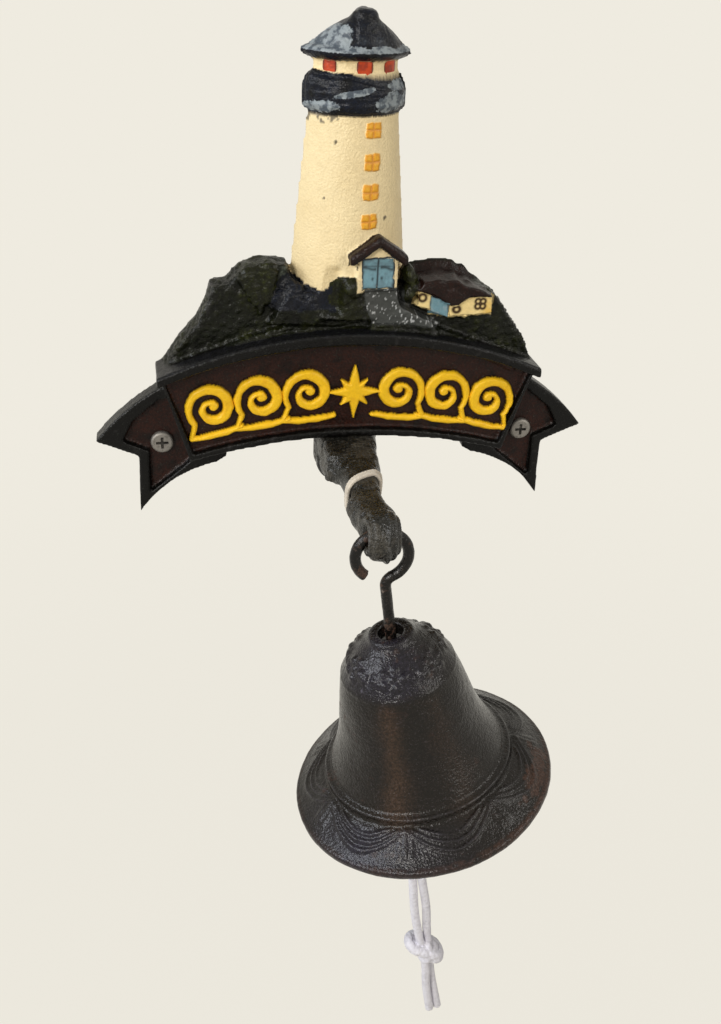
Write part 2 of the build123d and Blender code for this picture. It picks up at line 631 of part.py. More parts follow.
def bell():
    """Turned bell: crown with a lipped hole, dome, waist with a raised bead, flared brim and a thick lip."""
    lip_side = (BELL_R - LIP_IN, BELL_H - LIP_H)
    lip_mid = (BELL_R, BELL_H - LIP_H / 2)
    lip_foot = (BELL_R - LIP_FOOT, BELL_H)
    inner_foot = (BELL_R - LIP_FOOT - LIP_FLAT, BELL_H)
    outside = [CROWN_LIP_EDGE, *DOME, (BEAD_R, BEAD_H), *BRIM, lip_side]
    inside = inset(outside, BELL_WALL)
    dome = [down(p) for p in outside]
    hollow = [down(p) for p in [*inside, inner_foot]]
    crown_in = (max(BELL_HOLE_R, inside[0][0] - BELL_WALL / 2), CROWN_WALL)
    skin = Spline(*dome)
    core = Spline(*hollow)
    lip = ThreePointArc(down(lip_side), down(lip_mid), down(lip_foot))
    profile = make_face(
        [
            Line(down((BELL_HOLE_R, 0)), down((CROWN_LIP_R, 0))),
            Line(down((CROWN_LIP_R, 0)), down(CROWN_LIP_EDGE)),
            skin,
            lip,
            Line(down(lip_foot), down(inner_foot)),
            core,
            Line(core @ 0, down(crown_in)),
            Line(down(crown_in), down((BELL_HOLE_R, CROWN_WALL))),
            Line(down((BELL_HOLE_R, CROWN_WALL)), down((BELL_HOLE_R, 0))),
        ]
    )
    body = revolve(Plane.XZ * profile, axis=Axis.Z)
    bead = Pos(0, 0, -BEAD_H) * Torus(BEAD_R, BEAD_OUT)
    return BELL * (body + bead)


def down(point):
    """A radius and a depth as a point of the upright profile."""
    return (point[0], -point[1])


def clapper():
    """Casting hung in the hook's eye: ring, tapered stem, ball striker and a flat eye for the cord."""
    ring = Pos(0, 0, -CLAPPER_RING_DROP) * Rot(0, 90, 0) * Torus(CLAPPER_RING_R, CLAPPER_WIRE_R)
    stem_top = CLAPPER_RING_DROP + CLAPPER_RING_R
    stem = Pos(0, 0, -STRIKER_DROP) * Cone(
        CLAPPER_WAIST_R, CLAPPER_NECK_R, STRIKER_DROP - stem_top, align=(Align.CENTER, Align.CENTER, Align.MIN)
    )
    striker = Pos(0, 0, -STRIKER_DROP) * Sphere(STRIKER_R)
    tail_stem = Pos(0, 0, -STRIKER_DROP) * Cylinder(
        CLAPPER_NECK_R,
        CORD_EYE_DROP - STRIKER_DROP - CORD_EYE_HOLE_R - 0.5,
        align=(Align.CENTER, Align.CENTER, Align.MAX),
    )
    eye = Pos(0, 0, -CORD_EYE_DROP) * Rot(0, 90, 0) * (
        Cylinder(CORD_EYE_R, CORD_EYE_T) - Cylinder(CORD_EYE_HOLE_R, 2 * CORD_EYE_T)
    )
    return CROWN * (ring + stem + striker + tail_stem + eye)


def cord_route():
    """Points of the doubled cord from one tail's end, up through the eye and down to the other."""
    over = [(-STRAND_X, 0, -CORD_EYE_DROP), (STRAND_X, 0, -CORD_EYE_DROP)]
    return [Vector(*p) for p in [*reversed(LEFT_LEG), *over, *RIGHT_LEG]]


def bend_radii(points):
    """For each corner the radius that its two runs allow: a share of the shorter over the half turn's tangent."""
    radii = []
    for before, here, after in zip(points, points[1:], points[2:]):
        first = here - before
        second = after - here
        turn = first.get_angle(second)
        radii.append(FILLET_SHARE * min(first.length, second.length) / tan(radians(turn / 2)))
    return radii


def pull_cord():
    """The cord's tube: straight runs joined by tangent arcs."""
    points = cord_route()
    radii = bend_radii(points)
    path = FilletPolyline(*points, radius=radii)
    section = Plane(origin=path @ 0, z_dir=path % 0) * Circle(CORD_D / 2)
    tube = sweep(section, path=path)
    ideal = Circle(CORD_D / 2).area * path.length
    print("cord bend radii", [round(r, 1) for r in radii])
    print("cord length", round(path.length, 1), "volume", round(tube.volume, 1), "section x length", round(ideal, 1))
    return CROWN * tube


def cord_knot():
    """Overhand knot in the doubled cord: two slanting turns round a core."""
    turn = Torus(KNOT_TURN_R, KNOT_STRAND_R)
    high = Pos(0, 0, KNOT_SPREAD) * Rot(0, KNOT_TILT, 0) * turn
    low = Pos(0, 0, -KNOT_SPREAD) * Rot(0, KNOT_TILT, 0) * turn
    return CROWN * Pos(0, 0, -KNOT_DROP) * (Sphere(KNOT_CORE_R) + high + low)


PARTS = {
    "wall_plate": wall_plate(),
    "hanger_arm": hanger_arm(),
    "arm_screw": arm_screw(),
    "wall_screw_left": wall_screw(-1),
    "wall_screw_right": wall_screw(1),
    "arm_band": arm_band(),
    "bell_hook": bell_hook(),
    "bell": bell(),
    "clapper": clapper(),
    "pull_cord": pull_cord(),
    "cord_knot": cord_knot(),
}
for name, solid in PARTS.items():
    export_step(solid, f"parts/{name}.step")
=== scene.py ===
"""Looks of a cast-iron wall bell: painted plaque, hanger arm, hook, bell, clapper and a knotted pull cord."""

import logging
import math
from dataclasses import dataclass
from enum import Enum
from typing import Callable, Dict, List, Optional, Sequence, Tuple

import bpy
import numpy as np
from mathutils import Matrix, Vector
from mathutils.bvhtree import BVHTree


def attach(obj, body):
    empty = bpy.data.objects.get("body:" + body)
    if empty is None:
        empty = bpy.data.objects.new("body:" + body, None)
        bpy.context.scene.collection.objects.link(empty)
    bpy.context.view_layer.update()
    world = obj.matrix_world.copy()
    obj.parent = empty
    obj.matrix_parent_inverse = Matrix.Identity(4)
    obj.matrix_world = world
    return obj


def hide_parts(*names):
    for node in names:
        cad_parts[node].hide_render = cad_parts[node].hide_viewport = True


LOG = logging.getLogger("wall_bell")
MM = 0.001
SEED = 7641

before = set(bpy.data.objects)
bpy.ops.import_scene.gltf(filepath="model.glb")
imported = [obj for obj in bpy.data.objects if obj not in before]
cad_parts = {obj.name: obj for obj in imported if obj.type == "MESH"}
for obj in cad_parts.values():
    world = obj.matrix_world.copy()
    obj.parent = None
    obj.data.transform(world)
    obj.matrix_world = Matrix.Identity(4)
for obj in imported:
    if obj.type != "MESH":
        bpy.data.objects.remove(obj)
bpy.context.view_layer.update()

Colour = Tuple[float, float, float]
Outline = Sequence[Tuple[float, float]]


def srgb(red: float, green: float, blue: float) -> Colour:
    """Turns a screen colour into the linear one that the renderer works with.

    Args:
        red: Red from 0 to 255.
        green: Green from 0 to 255.
        blue: Blue from 0 to 255.

    Returns:
        The linear colour.
    """
    parts = [c / 255 for c in (red, green, blue)]
    return tuple(c / 12.92 if c <= 0.04045 else ((c + 0.055) / 1.055) ** 2.4 for c in parts)


class Paint(Enum):
    """Colours that the plaque is painted in."""

    BLACK = srgb(10, 9, 8)
    MAROON = srgb(52, 26, 19)
    ROOF_BROWN = srgb(38, 19, 14)
    OLIVE = srgb(30, 32, 10)
    LEAF = srgb(19, 22, 9)
    LEAF_DARK = srgb(8, 9, 5)
    MOSS = srgb(56, 60, 24)
    # Stone grey of the rocks, also laid as painted light on the ledge's upward-facing top
    STONE_AND_LEDGE_LIGHT = srgb(32, 34, 42)
    # Light grey-green of the painted glints on the enamel and the clump
    GLINT_GREY = srgb(112, 120, 108)
    CREAM = srgb(240, 219, 172)
    CREAM_SHADE = srgb(228, 204, 154)
    NAVY = srgb(20, 25, 38)
    SLATE = srgb(80, 88, 96)
    PALE = srgb(146, 154, 158)
    AMBER = srgb(240, 176, 52)
    AMBER_LINE = srgb(206, 118, 18)
    RED = srgb(200, 70, 26)
    RED_DARK = srgb(120, 40, 24)
    DOOR_BLUE = srgb(118, 156, 168)
    LINE = srgb(20, 18, 20)
    WALL_YELLOW = srgb(248, 222, 156)
    WALL_AMBER = srgb(236, 186, 60)
    OCHRE = srgb(58, 36, 10)
    PATH = srgb(62, 64, 62)
    FLECK = srgb(190, 192, 192)
    GOLD = srgb(252, 200, 34)
    # Grey of metal worn bare on ridges and rims, also laid as painted highlight specks at the hill's left edge
    GREY_METAL_AND_GLINT = srgb(66, 64, 64)
    BELL_BLACK = srgb(26, 21, 16)
    # Warm brown of the painted reflection down one side of the bell
    BELL_REFLECTION_BROWN = srgb(66, 48, 34)
    # Bluish black of the painted reflections on the bell's crown and brim
    BELL_REFLECTION_BLUE = srgb(42, 40, 54)
    BELL_BARE = srgb(76, 52, 40)


class Lattice:
    """Smooth noise that repeats from run to run."""

    def __init__(self, seed: int) -> None:
        """Fills the table of random values.

        Args:
            seed: Number that fixes the values.
        """
        self.table = np.random.default_rng(seed).random(8192)

    def pick(self, cell: np.ndarray) -> np.ndarray:
        """Random value of each lattice cell.

        Args:
            cell: Whole-numbered cells, one row each.

        Returns:
            Values from 0 to 1.
        """
        mixed = (cell[:, 0] * 73856093) ^ (cell[:, 1] * 19349663) ^ (cell[:, 2] * 83492791)
        return self.table[mixed & 8191]

    def smooth(self, points: np.ndarray, size: float) -> np.ndarray:
        """Smooth noise with lumps of one size.

        Args:
            points: Points in millimetres.
            size: Size of the lumps in millimetres.

        Returns:
            Values from -1 to 1.
        """
        scaled = points / size
        cell = np.floor(scaled).astype(np.int64)
        part = scaled - cell
        ease = part * part * (3 - 2 * part)
        total = np.zeros(len(points))
        for corner in np.ndindex(2, 2, 2):
            step = np.array(corner)
            weight = np.prod(np.where(step == 1, ease, 1 - ease), axis=1)
            total += weight * self.pick(cell + step)
        return total * 2 - 1

    def fractal(self, points: np.ndarray, size: float, octaves: int = 3) -> np.ndarray:
        """Noise with finer and finer lumps.

        Args:
            points: Points in millimetres.
            size: Size of the largest lumps.
            octaves: How many sizes are added.

        Returns:
            Values from about -1 to 1.
        """
        total = np.zeros(len(points))
        for level in range(octaves):
            total += self.smooth(points + 17.3 * level, size / 2**level) / 2**level
        return total / (2 - 2 ** (1 - octaves))

    def cells(self, points: np.ndarray, size: float) -> Tuple[np.ndarray, np.ndarray, np.ndarray]:
        """Cells round scattered points, for leaves, facets and stones.

        Args:
            points: Points in millimetres.
            size: Spacing of the cells.

        Returns:
            Distance to the nearest point, to the second nearest, and a random value of the nearest.
        """
        scaled = points / size
        home = np.floor(scaled).astype(np.int64)
        first = np.full(len(points), 9.0)
        second = np.full(len(points), 9.0)
        mark = np.zeros(len(points))
        for corner in np.ndindex(3, 3, 3):
            cell = home + np.array(corner) - 1
            place = np.stack([self.pick(cell), self.pick(cell + 31), self.pick(cell + 57)], axis=1)
            away = np.linalg.norm(cell + place - scaled, axis=1)
            nearer = away < first
            second = np.where(nearer, first, np.minimum(second, away))
            mark = np.where(nearer, self.pick(cell + 83), mark)
            first = np.where(nearer, away, first)
        return first, second, mark


NOISE = Lattice(SEED)


def step_up(low: float, high: float, value: np.ndarray) -> np.ndarray:
    """Rises smoothly from 0 to 1 as the value goes from low to high.

    Args:
        low: Where it starts.
        high: Where it ends.
        value: The values.

    Returns:
        Numbers from 0 to 1.
    """
    part = np.clip((value - low) / (high - low), 0, 1)
    return part * part * (3 - 2 * part)


def ridge(value: np.ndarray, width: float) -> np.ndarray:
    """Bell-shaped ridge about zero.

    Args:
        value: Distance from the ridge's line.
        width: Half width of the ridge.

    Returns:
        Numbers from 0 to 1.
    """
    return np.exp(-((value / width) ** 2))


def outline_distance(x: np.ndarray, z: np.ndarray, outline: Outline) -> np.ndarray:
    """Distance to a closed outline, negative inside it.

    Args:
        x: Positions across.
        z: Heights.
        outline: Corners of the outline.

    Returns:
        Signed distances in the outline's unit.
    """
    corners = np.array(outline, dtype=float)
    nearest = np.full(x.shape, 1e9)
    inside = np.zeros(x.shape, dtype=bool)
    for (ax, az), (bx, bz) in zip(corners, np.roll(corners, -1, axis=0)):
        ex, ez = bx - ax, bz - az
        along = np.clip(((x - ax) * ex + (z - az) * ez) / max(ex * ex + ez * ez, 1e-9), 0, 1)
        nearest = np.minimum(nearest, np.hypot(x - ax - along * ex, z - az - along * ez))
        crosses = (az > z) != (bz > z)
        with np.errstate(divide="ignore", invalid="ignore"):
            at = ax + (z - az) * ex / (ez if ez else 1e-9)
        inside ^= crosses & (x < at)
    return np.where(inside, -nearest, nearest)


def stroke_distance(x: np.ndarray, z: np.ndarray, line: Sequence[Tuple[float, float, float]]) -> np.ndarray:
    """Distance to a brush stroke whose half width changes along it, negative inside it.

    Args:
        x: Positions across.
        z: Heights.
        line: Points of the stroke, each with its half width.

    Returns:
        Signed distances.
    """
    nearest = np.full(x.shape, 1e9)
    for (ax, az, ar), (bx, bz, br) in zip(line, line[1:]):
        ex, ez = bx - ax, bz - az
        along = np.clip(((x - ax) * ex + (z - az) * ez) / max(ex * ex + ez * ez, 1e-9), 0, 1)
        away = np.hypot(x - ax - along * ex, z - az - along * ez)
        nearest = np.minimum(nearest, away - (ar + along * (br - ar)))
    return nearest


def blend(base: np.ndarray, colour: Colour, amount: np.ndarray) -> np.ndarray:
    """Lays a colour over others.

    Args:
        base: Colours, one row each.
        colour: The colour to lay on.
        amount: How much of it, from 0 to 1.

    Returns:
        The mixed colours.
    """
    return base + (np.array(colour) - base) * np.clip(amount, 0, 1)[:, None]


def arch_height(x: np.ndarray, half: float, end: float, middle: float) -> np.ndarray:
    """Height of an arc that passes both ends and the middle.

    Args:
        x: Positions across.
        half: Half the arc's span.
        end: Height at the ends.
        middle: Height in the middle.

    Returns:
        The arc's heights.
    """
    rise = middle - end
    radius = (half * half + rise * rise) / (2 * rise)
    return middle - radius + np.sqrt(np.maximum(radius * radius - x * x, 0))


# Meshes


def new_object(name: str, points: np.ndarray, faces: Sequence[Sequence[int]]) -> bpy.types.Object:
    """Makes a smooth-shaded mesh object.

    Args:
        name: The object's name.
        points: Vertices in millimetres.
        faces: Corners of each face.

    Returns:
        The new object.
    """
    mesh = bpy.data.meshes.new(name)
    mesh.from_pydata((points * MM).tolist(), [], [list(map(int, f)) for f in faces])
    mesh.validate()
    mesh.polygons.foreach_set("use_smooth", [True] * len(mesh.polygons))
    obj = bpy.data.objects.new(name, mesh)
    bpy.context.scene.collection.objects.link(obj)
    return obj


def store_colour(obj: bpy.types.Object, colours: np.ndarray, chips: Optional[np.ndarray] = None) -> None:
    """Keeps a colour for each vertex as the attribute that the paint material reads.

    Args:
        obj: The painted object.
        colours: Linear colours, one row for each vertex.
        chips: How near the paint is to chipping off, over 0.5 where it has, or None where it holds.
    """
    layer = obj.data.color_attributes.new("paint", "FLOAT_COLOR", "POINT")
    chipped = np.zeros(len(colours)) if chips is None else np.clip(chips, 0, 1)
    full = np.concatenate([colours, chipped[:, None]], axis=1)
    layer.data.foreach_set("color", full.astype(np.float32).ravel())


def seat(obj: bpy.types.Object, body: str, material: bpy.types.Material) -> None:
    """Gives a piece its material and its body, and reports it.

    Args:
        obj: The piece.
        body: The body that it moves with.
        material: Its material.
    """
    obj.data.materials.append(material)
    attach(obj, body)
    LOG.info("%s rides on %s", obj.name, body)


Solid = Tuple[np.ndarray, List[List[int]]]


def leaning_turned(
    rows: Sequence[Tuple[float, float, float, float]], around: int = 96, front: float = -0.6
) -> Solid:
    """A round shape whose middle may wander as it rises, cut off at the wall side.

    Args:
        rows: Middle X, middle Y, height and radius from the lowest to the highest.
        around: Corners of each ring.
        front: Y of the cut.

    Returns:
        Vertices and faces.
    """
    turn = np.linspace(0, 2 * math.pi, around, endpoint=False)
    rings = [
        np.stack([x + r * np.cos(turn), y + r * np.sin(turn), np.full(around, z)], axis=1)
        for x, y, z, r in rows
    ]
    points = np.concatenate(rings)
    points[:, 1] = np.minimum(points[:, 1], front)
    faces = [list(range(around))[::-1], [(len(rows) - 1) * around + k for k in range(around)]]
    for i in range(len(rows) - 1):
        for k in range(around):
            m = (k + 1) % around
            faces.append([i * around + k, i * around + m, (i + 1) * around + m, (i + 1) * around + k])
    return points, faces


def ball(x: float, y: float, z: float, rx: float, ry: float, rz: float) -> Solid:
    """An egg-shaped lump.

    Args:
        x: Middle across.
        y: Middle in depth.
        z: Middle in height.
        rx: Half width.
        ry: Half depth.
        rz: Half height.

    Returns:
        Vertices and faces.
    """
    angles = np.linspace(-1.45, 1.45, 12)
    points, faces = leaning_turned([(0, 0, math.sin(a), math.cos(a)) for a in angles], 24, 9.0)
    points = points * np.array([rx, ry, rz]) + np.array([x, y, z])
    points[:, 1] = np.minimum(points[:, 1], -0.6)
    return points, faces


class Casting:
    """A copy of a CAD node's skin with finer faces, which can be sculpted."""

    def __init__(self, node: str, name: str, fineness: float, lumps: Sequence[Solid] = ()) -> None:
        """Copies the node, adds lumps to it and gives the whole even, fine faces.

        Args:
            node: Name of the CAD node.
            name: Name of the new object.
            fineness: Length of the new faces' edges in millimetres.
            lumps: Closed shapes that melt into the node.
        """
        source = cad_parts[node].data
        points = [v.co / MM for v in source.vertices]
        faces = [list(f.vertices) for f in source.polygons]
        for lump_points, lump_faces in lumps:
            faces.extend([i + len(points) for i in f] for f in lump_faces)
            points.extend(Vector(q) for q in lump_points)
        start = bpy.data.meshes.new(name + "_rough")
        start.from_pydata([q * MM for q in points], [], faces)
        rough = bpy.data.objects.new(name + "_rough", start)
        bpy.context.scene.collection.objects.link(rough)
        modifier = rough.modifiers.new("skin", "REMESH")
        modifier.mode = "VOXEL"
        modifier.voxel_size = fineness * MM
        scene_state = bpy.context.evaluated_depsgraph_get()
        mesh = bpy.data.meshes.new_from_object(rough.evaluated_get(scene_state))
        bpy.data.objects.remove(rough)
        mesh.materials.clear()
        mesh.name = name
        self.obj = bpy.data.objects.new(name, mesh)
        bpy.context.scene.collection.objects.link(self.obj)
        mesh.polygons.foreach_set("use_smooth", [True] * len(mesh.polygons))
        self.read()
        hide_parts(node)
        LOG.info("%s has %d vertices", name, len(self.points))

    def soften(self, rounds: int) -> None:
        """Melts edges by moving each vertex towards its neighbours.

        Args:
            rounds: How many times.
        """
        mesh = self.obj.data
        ends = np.empty(len(mesh.edges) * 2, dtype=np.int32)
        mesh.edges.foreach_get("vertices", ends)
        first, second = ends.reshape(-1, 2).T
        share = (
            np.bincount(first, minlength=len(self.points)) + np.bincount(second, minlength=len(self.points))
        )
        points = self.points
        for _ in range(rounds):
            total = np.zeros_like(points)
            np.add.at(total, first, points[second])
            np.add.at(total, second, points[first])
            points = 0.5 * points + 0.5 * total / share[:, None]
        self.move(points)

    def read(self) -> None:
        """Reads the mesh's points and normals."""
        mesh = self.obj.data
        count = len(mesh.vertices)
        points = np.empty(count * 3, dtype=np.float64)
        mesh.vertices.foreach_get("co", points)
        normals = np.empty(count * 3, dtype=np.float32)
        mesh.vertex_normals.foreach_get("vector", normals)
        self.points = points.reshape(-1, 3) / MM
        self.normals = normals.reshape(-1, 3).astype(np.float64)

    def move(self, points: np.ndarray) -> None:
        """Puts the vertices at new places.

        Args:
            points: New places in millimetres.
        """
        self.obj.data.vertices.foreach_set("co", (points * MM).ravel())
        self.obj.data.update()
        self.read()

    def push(self, amount: np.ndarray) -> None:
        """Moves each vertex along its normal.

        Args:
            amount: Distances in millimetres.
        """
        self.move(self.points + self.normals * amount[:, None])


class Relief:
    """Fine raised work laid over a surface that faces the room."""

    def __init__(self, surface: bpy.types.Object) -> None:
        """Prepares the surface for measuring.

        Args:
            surface: The object that carries the raised work.
        """
        mesh = surface.data
        points = [v.co for v in mesh.vertices]
        self.tree = BVHTree.FromPolygons(points, [p.vertices for p in mesh.polygons])

    def depth(self, x: np.ndarray, z: np.ndarray, far: float) -> np.ndarray:
        """Where the surface lies behind each point, seen from the room.

        Args:
            x: Positions across in millimetres.
            z: Heights in millimetres.
            far: Value where there is no surface.

        Returns:
            The surface's Y in millimetres.
        """
        out = np.full(x.shape, far)
        for i, (px, pz) in enumerate(zip(x, z)):
            hit = self.tree.ray_cast(Vector((px * MM, -0.06, pz * MM)), Vector((0, 1, 0)), 0.08)
            if hit[0] is not None:
                out[i] = hit[0].y / MM
        return out


def grid_patch(
    name: str,
    box: Tuple[float, float, float, float],
    step: float,
    place: Callable[[np.ndarray, np.ndarray], Tuple[np.ndarray, np.ndarray]],
    bury: float = 0.25,
) -> Tuple[bpy.types.Object, np.ndarray]:
    """Makes a raised patch on an upright grid and leaves out what lies under the surface.

    Args:
        name: The object's name.
        box: Low X, low Z, high X and high Z in millimetres.
        step: Spacing of the grid.
        place: Gives the height above the surface and the surface's Y for grid points.
        bury: Faces whose corners all lie deeper than this under the surface are left out.

    Returns:
        The object, and the X, height and Z of its vertices.
    """
    across = np.arange(box[0], box[2] + step, step)
    up = np.arange(box[1], box[3] + step, step)
    grid_x, grid_z = np.meshgrid(across, up)
    x, z = grid_x.ravel(), grid_z.ravel()
    height, base = place(x, z)
    shown = height > -bury
    index = np.arange(len(x)).reshape(grid_x.shape)
    quads = np.stack([index[:-1, :-1], index[:-1, 1:], index[1:, 1:], index[1:, :-1]], axis=-1).reshape(-1, 4)
    quads = quads[shown[quads].any(axis=1)]
    used = np.unique(quads)
    renumber = np.full(len(x), -1)
    renumber[used] = np.arange(len(used))
    points = np.stack([x, base - height, z], axis=1)[used]
    obj = new_object(name, points, renumber[quads])
    return obj, np.stack([x, height, z], axis=1)[used]


def sweep_tube(
    path: np.ndarray,
    radius: Callable[[np.ndarray, np.ndarray], np.ndarray],
    around: int,
    closed: bool = False,
) -> Tuple[np.ndarray, List[List[int]]]:
    """Sweeps a round section along a path.

    Args:
        path: Points of the centreline in millimetres.
        radius: Radius for an angle and a length along the path.
        around: Corners of the section.
        closed: Whether the path ends where it starts.

    Returns:
        Vertices and faces.
    """
    count = len(path)
    if closed:
        tangent = np.roll(path, -1, axis=0) - np.roll(path, 1, axis=0)
    else:
        tangent = np.gradient(path, axis=0)
    tangent /= np.linalg.norm(tangent, axis=1, keepdims=True)
    side = np.zeros_like(path)
    start = np.cross(tangent[0], [0.0, 1.0, 0.0])
    if np.linalg.norm(start) < 0.1:
        start = np.cross(tangent[0], [1.0, 0.0, 0.0])
    side[0] = start / np.linalg.norm(start)
    for i in range(1, count):
        kept = side[i - 1] - tangent[i] * np.dot(side[i - 1], tangent[i])
        side[i] = kept / np.linalg.norm(kept)
    other = np.cross(tangent, side)
    run = np.concatenate([[0], np.cumsum(np.linalg.norm(np.diff(path, axis=0), axis=1))])
    angle = np.linspace(0, 2 * math.pi, around, endpoint=False)
    if closed:
        twist = math.atan2(np.dot(side[-1], other[0]), np.dot(side[-1], side[0]))
        angles = angle[None, :] - twist * (run / run[-1])[:, None]
    else:
        angles = np.repeat(angle[None, :], count, axis=0)
    radii = radius(np.repeat(angle[None, :], count, axis=0), np.repeat(run[:, None], around, axis=1))
    ring = side[:, None, :] * np.cos(angles)[..., None] + other[:, None, :] * np.sin(angles)[..., None]
    points = (path[:, None, :] + ring * radii[..., None]).reshape(-1, 3)
    faces = []
    for i in range(count if closed else count - 1):
        j = (i + 1) % count
        for k in range(around):
            m = (k + 1) % around
            faces.append([i * around + k, i * around + m, j * around + m, j * around + k])
    if not closed:
        faces.append(list(range(around))[::-1])
        faces.append([(count - 1) * around + k for k in range(around)])
    return points, faces


def smooth_path(points: Sequence[Sequence[float]], step: float) -> np.ndarray:
    """Runs a smooth curve through points and spaces its points evenly.

    Args:
        points: The points to pass.
        step: Spacing of the result.

    Returns:
        Points along the curve.
    """
    knots = np.array(points, dtype=float)
    ends = np.concatenate([[2 * knots[0] - knots[1]], knots, [2 * knots[-1] - knots[-2]]])
    t = np.linspace(0, 1, 24, endpoint=False)[:, None]
    dense = []
    for a, b, c, d in zip(ends, ends[1:], ends[2:], ends[3:]):
        dense.append(
            0.5 * (2 * b + (c - a) * t + (2 * a - 5 * b + 4 * c - d) * t**2 + (3 * b - a - 3 * c + d) * t**3)
        )
    line = np.concatenate([*dense, knots[-1:]])
    run = np.concatenate([[0], np.cumsum(np.linalg.norm(np.diff(line, axis=0), axis=1))])
    even = np.linspace(0, run[-1], max(int(run[-1] / step), 4))
    return np.stack([np.interp(even, run, line[:, i]) for i in range(knots.shape[1])], axis=1)


# Finishes


class Shade:
    """A shader value that takes part in sums like a number."""

    def __init__(self, recipe: "Recipe", socket: bpy.types.NodeSocket) -> None:
        """Wraps a node's output.

        Args:
            recipe: The material's recipe.
            socket: The output.
        """
        self.recipe = recipe
        self.socket = socket

    def _sum(self, operation: str, first: object, second: object) -> "Shade":
        """One step of arithmetic.

        Args:
            operation: Name of the maths node's operation.
            first: Left value.
            second: Right value.

        Returns:
            The result.
        """
        return self.recipe.node("ShaderNodeMath", {0: first, 1: second}, operation=operation)

    def __add__(self, other: object) -> "Shade":
        """This value plus another."""
        return self._sum("ADD", self, other)

    def __radd__(self, other: object) -> "Shade":
        """Another value plus this one."""
        return self._sum("ADD", other, self)

    def __sub__(self, other: object) -> "Shade":
        """This value less another."""
        return self._sum("SUBTRACT", self, other)

    def __rsub__(self, other: object) -> "Shade":
        """Another value less this one."""
        return self._sum("SUBTRACT", other, self)

    def __mul__(self, other: object) -> "Shade":
        """This value times another."""
        return self._sum("MULTIPLY", self, other)

    def __rmul__(self, other: object) -> "Shade":
        """Another value times this one."""
        return self._sum("MULTIPLY", other, self)

    def __pow__(self, other: object) -> "Shade":
        """This value to the power of another."""
        return self._sum("POWER", self, other)

    def between(self, low: float, high: float) -> "Shade":
        """Rises smoothly from 0 to 1 as this value goes from low to high.

        Args:
            low: Where it starts.
            high: Where it ends.

        Returns:
            A value from 0 to 1.
        """
        inputs = {"Value": self, "From Min": low, "From Max": high}
        return self.recipe.node("ShaderNodeMapRange", inputs, interpolation_type="SMOOTHSTEP")

    def mix(self, low: object, high: object) -> "Shade":
        """Mixes two colours by this value.

        Args:
            low: Colour at 0.
            high: Colour at 1.

        Returns:
            The mixed colour.
        """
        return self.recipe.node("ShaderNodeMix", {0: self, 6: low, 7: high}, out=2, data_type="RGBA")


class Recipe:
    """Builds one material."""

    def __init__(self, name: str) -> None:
        """Starts an empty material.

        Args:
            name: The material's name.
        """
        self.material = bpy.data.materials.new(name)
        self.material.use_nodes = True
        self.nodes = self.material.node_tree.nodes
        self.links = self.material.node_tree.links
        self.nodes.clear()
        self.place = self.node("ShaderNodeTexCoord", {}, out="Object")

    def node(self, kind: str, inputs: Dict[object, object], out: object = 0, **settings: object) -> Shade:
        """Adds a node.

        Args:
            kind: The node's type.
            inputs: Value, colour or other node's output for each input.
            out: Which output is returned.
            **settings: The node's own properties.

        Returns:
            The chosen output.
        """
        made = self.nodes.new(kind)
        for key, value in settings.items():
            setattr(made, key, value)
        for key, value in inputs.items():
            if isinstance(value, Shade):
                self.links.new(value.socket, made.inputs[key])
            elif isinstance(value, (tuple, list)) and len(value) == 3 and made.inputs[key].type == "RGBA":
                made.inputs[key].default_value = (*value, 1.0)
            else:
                made.inputs[key].default_value = value
        return Shade(self, made.outputs[out])

    def noise(
        self, size_mm: float, detail: float = 4.0, rough: float = 0.55, stretch: Optional[Colour] = None
    ) -> Shade:
        """Cloudy noise.

        Args:
            size_mm: Size of the clouds.
            detail: How many finer sizes are added.
            rough: How strong the finer ones are.
            stretch: How much finer the noise is along X, Y and Z.

        Returns:
            A value about 0.5.
        """
        place = self.place
        if stretch is not None:
            place = self.node("ShaderNodeMapping", {"Vector": place, "Scale": stretch})
        inputs = {"Vector": place, "Scale": 1 / (size_mm * MM), "Detail": detail, "Roughness": rough}
        return self.node("ShaderNodeTexNoise", inputs)

    def grains(self, size_mm: float, smoothness: float = 0.6) -> Shade:
        """Rounded grains, as sand leaves on a casting.

        Args:
            size_mm: Size of a grain.
            smoothness: How softly they join.

        Returns:
            Distance to the grain's middle, from 0 up.
        """
        inputs = {"Vector": self.place, "Scale": 1 / (size_mm * MM), "Smoothness": smoothness}
        return self.node("ShaderNodeTexVoronoi", inputs, feature="SMOOTH_F1")

    def raised(self) -> Shade:
        """How sharp the surface's edges are, for wear and painted sheen on ridges and painted shade in
        hollows.

        Returns:
            A value about 0.5, higher on ridges.
        """
        return self.node("ShaderNodeNewGeometry", {}, out="Pointiness")

    def bump(
        self, height: Shade, distance_mm: float, strength: float = 1.0, under: Optional[Shade] = None
    ) -> Shade:
        """Turns a height into a slope of the surface.

        Args:
            height: The height.
            distance_mm: Height of one unit.
            strength: How strong the effect is.
            under: A slope to add to.

        Returns:
            The slope.
        """
        inputs: Dict[object, object] = {"Height": height, "Distance": distance_mm * MM, "Strength": strength}
        if under is not None:
            inputs["Normal"] = under
        return self.node("ShaderNodeBump", inputs)

    def finish(self, **inputs: object) -> bpy.types.Material:
        """Ends the material with a plain surface.

        Args:
            **inputs: The surface's inputs, with underscores for spaces.

        Returns:
            The material.
        """
        named = {key.replace("_", " "): value for key, value in inputs.items()}
        surface = self.node("ShaderNodeBsdfPrincipled", named)
        self.node_output(surface)
        return self.material

    def node_output(self, surface: Shade) -> None:
        """Joins the surface to the material's output.

        Args:
            surface: The surface.
        """
        output = self.nodes.new("ShaderNodeOutputMaterial")
        self.links.new(surface.socket, output.inputs["Surface"])


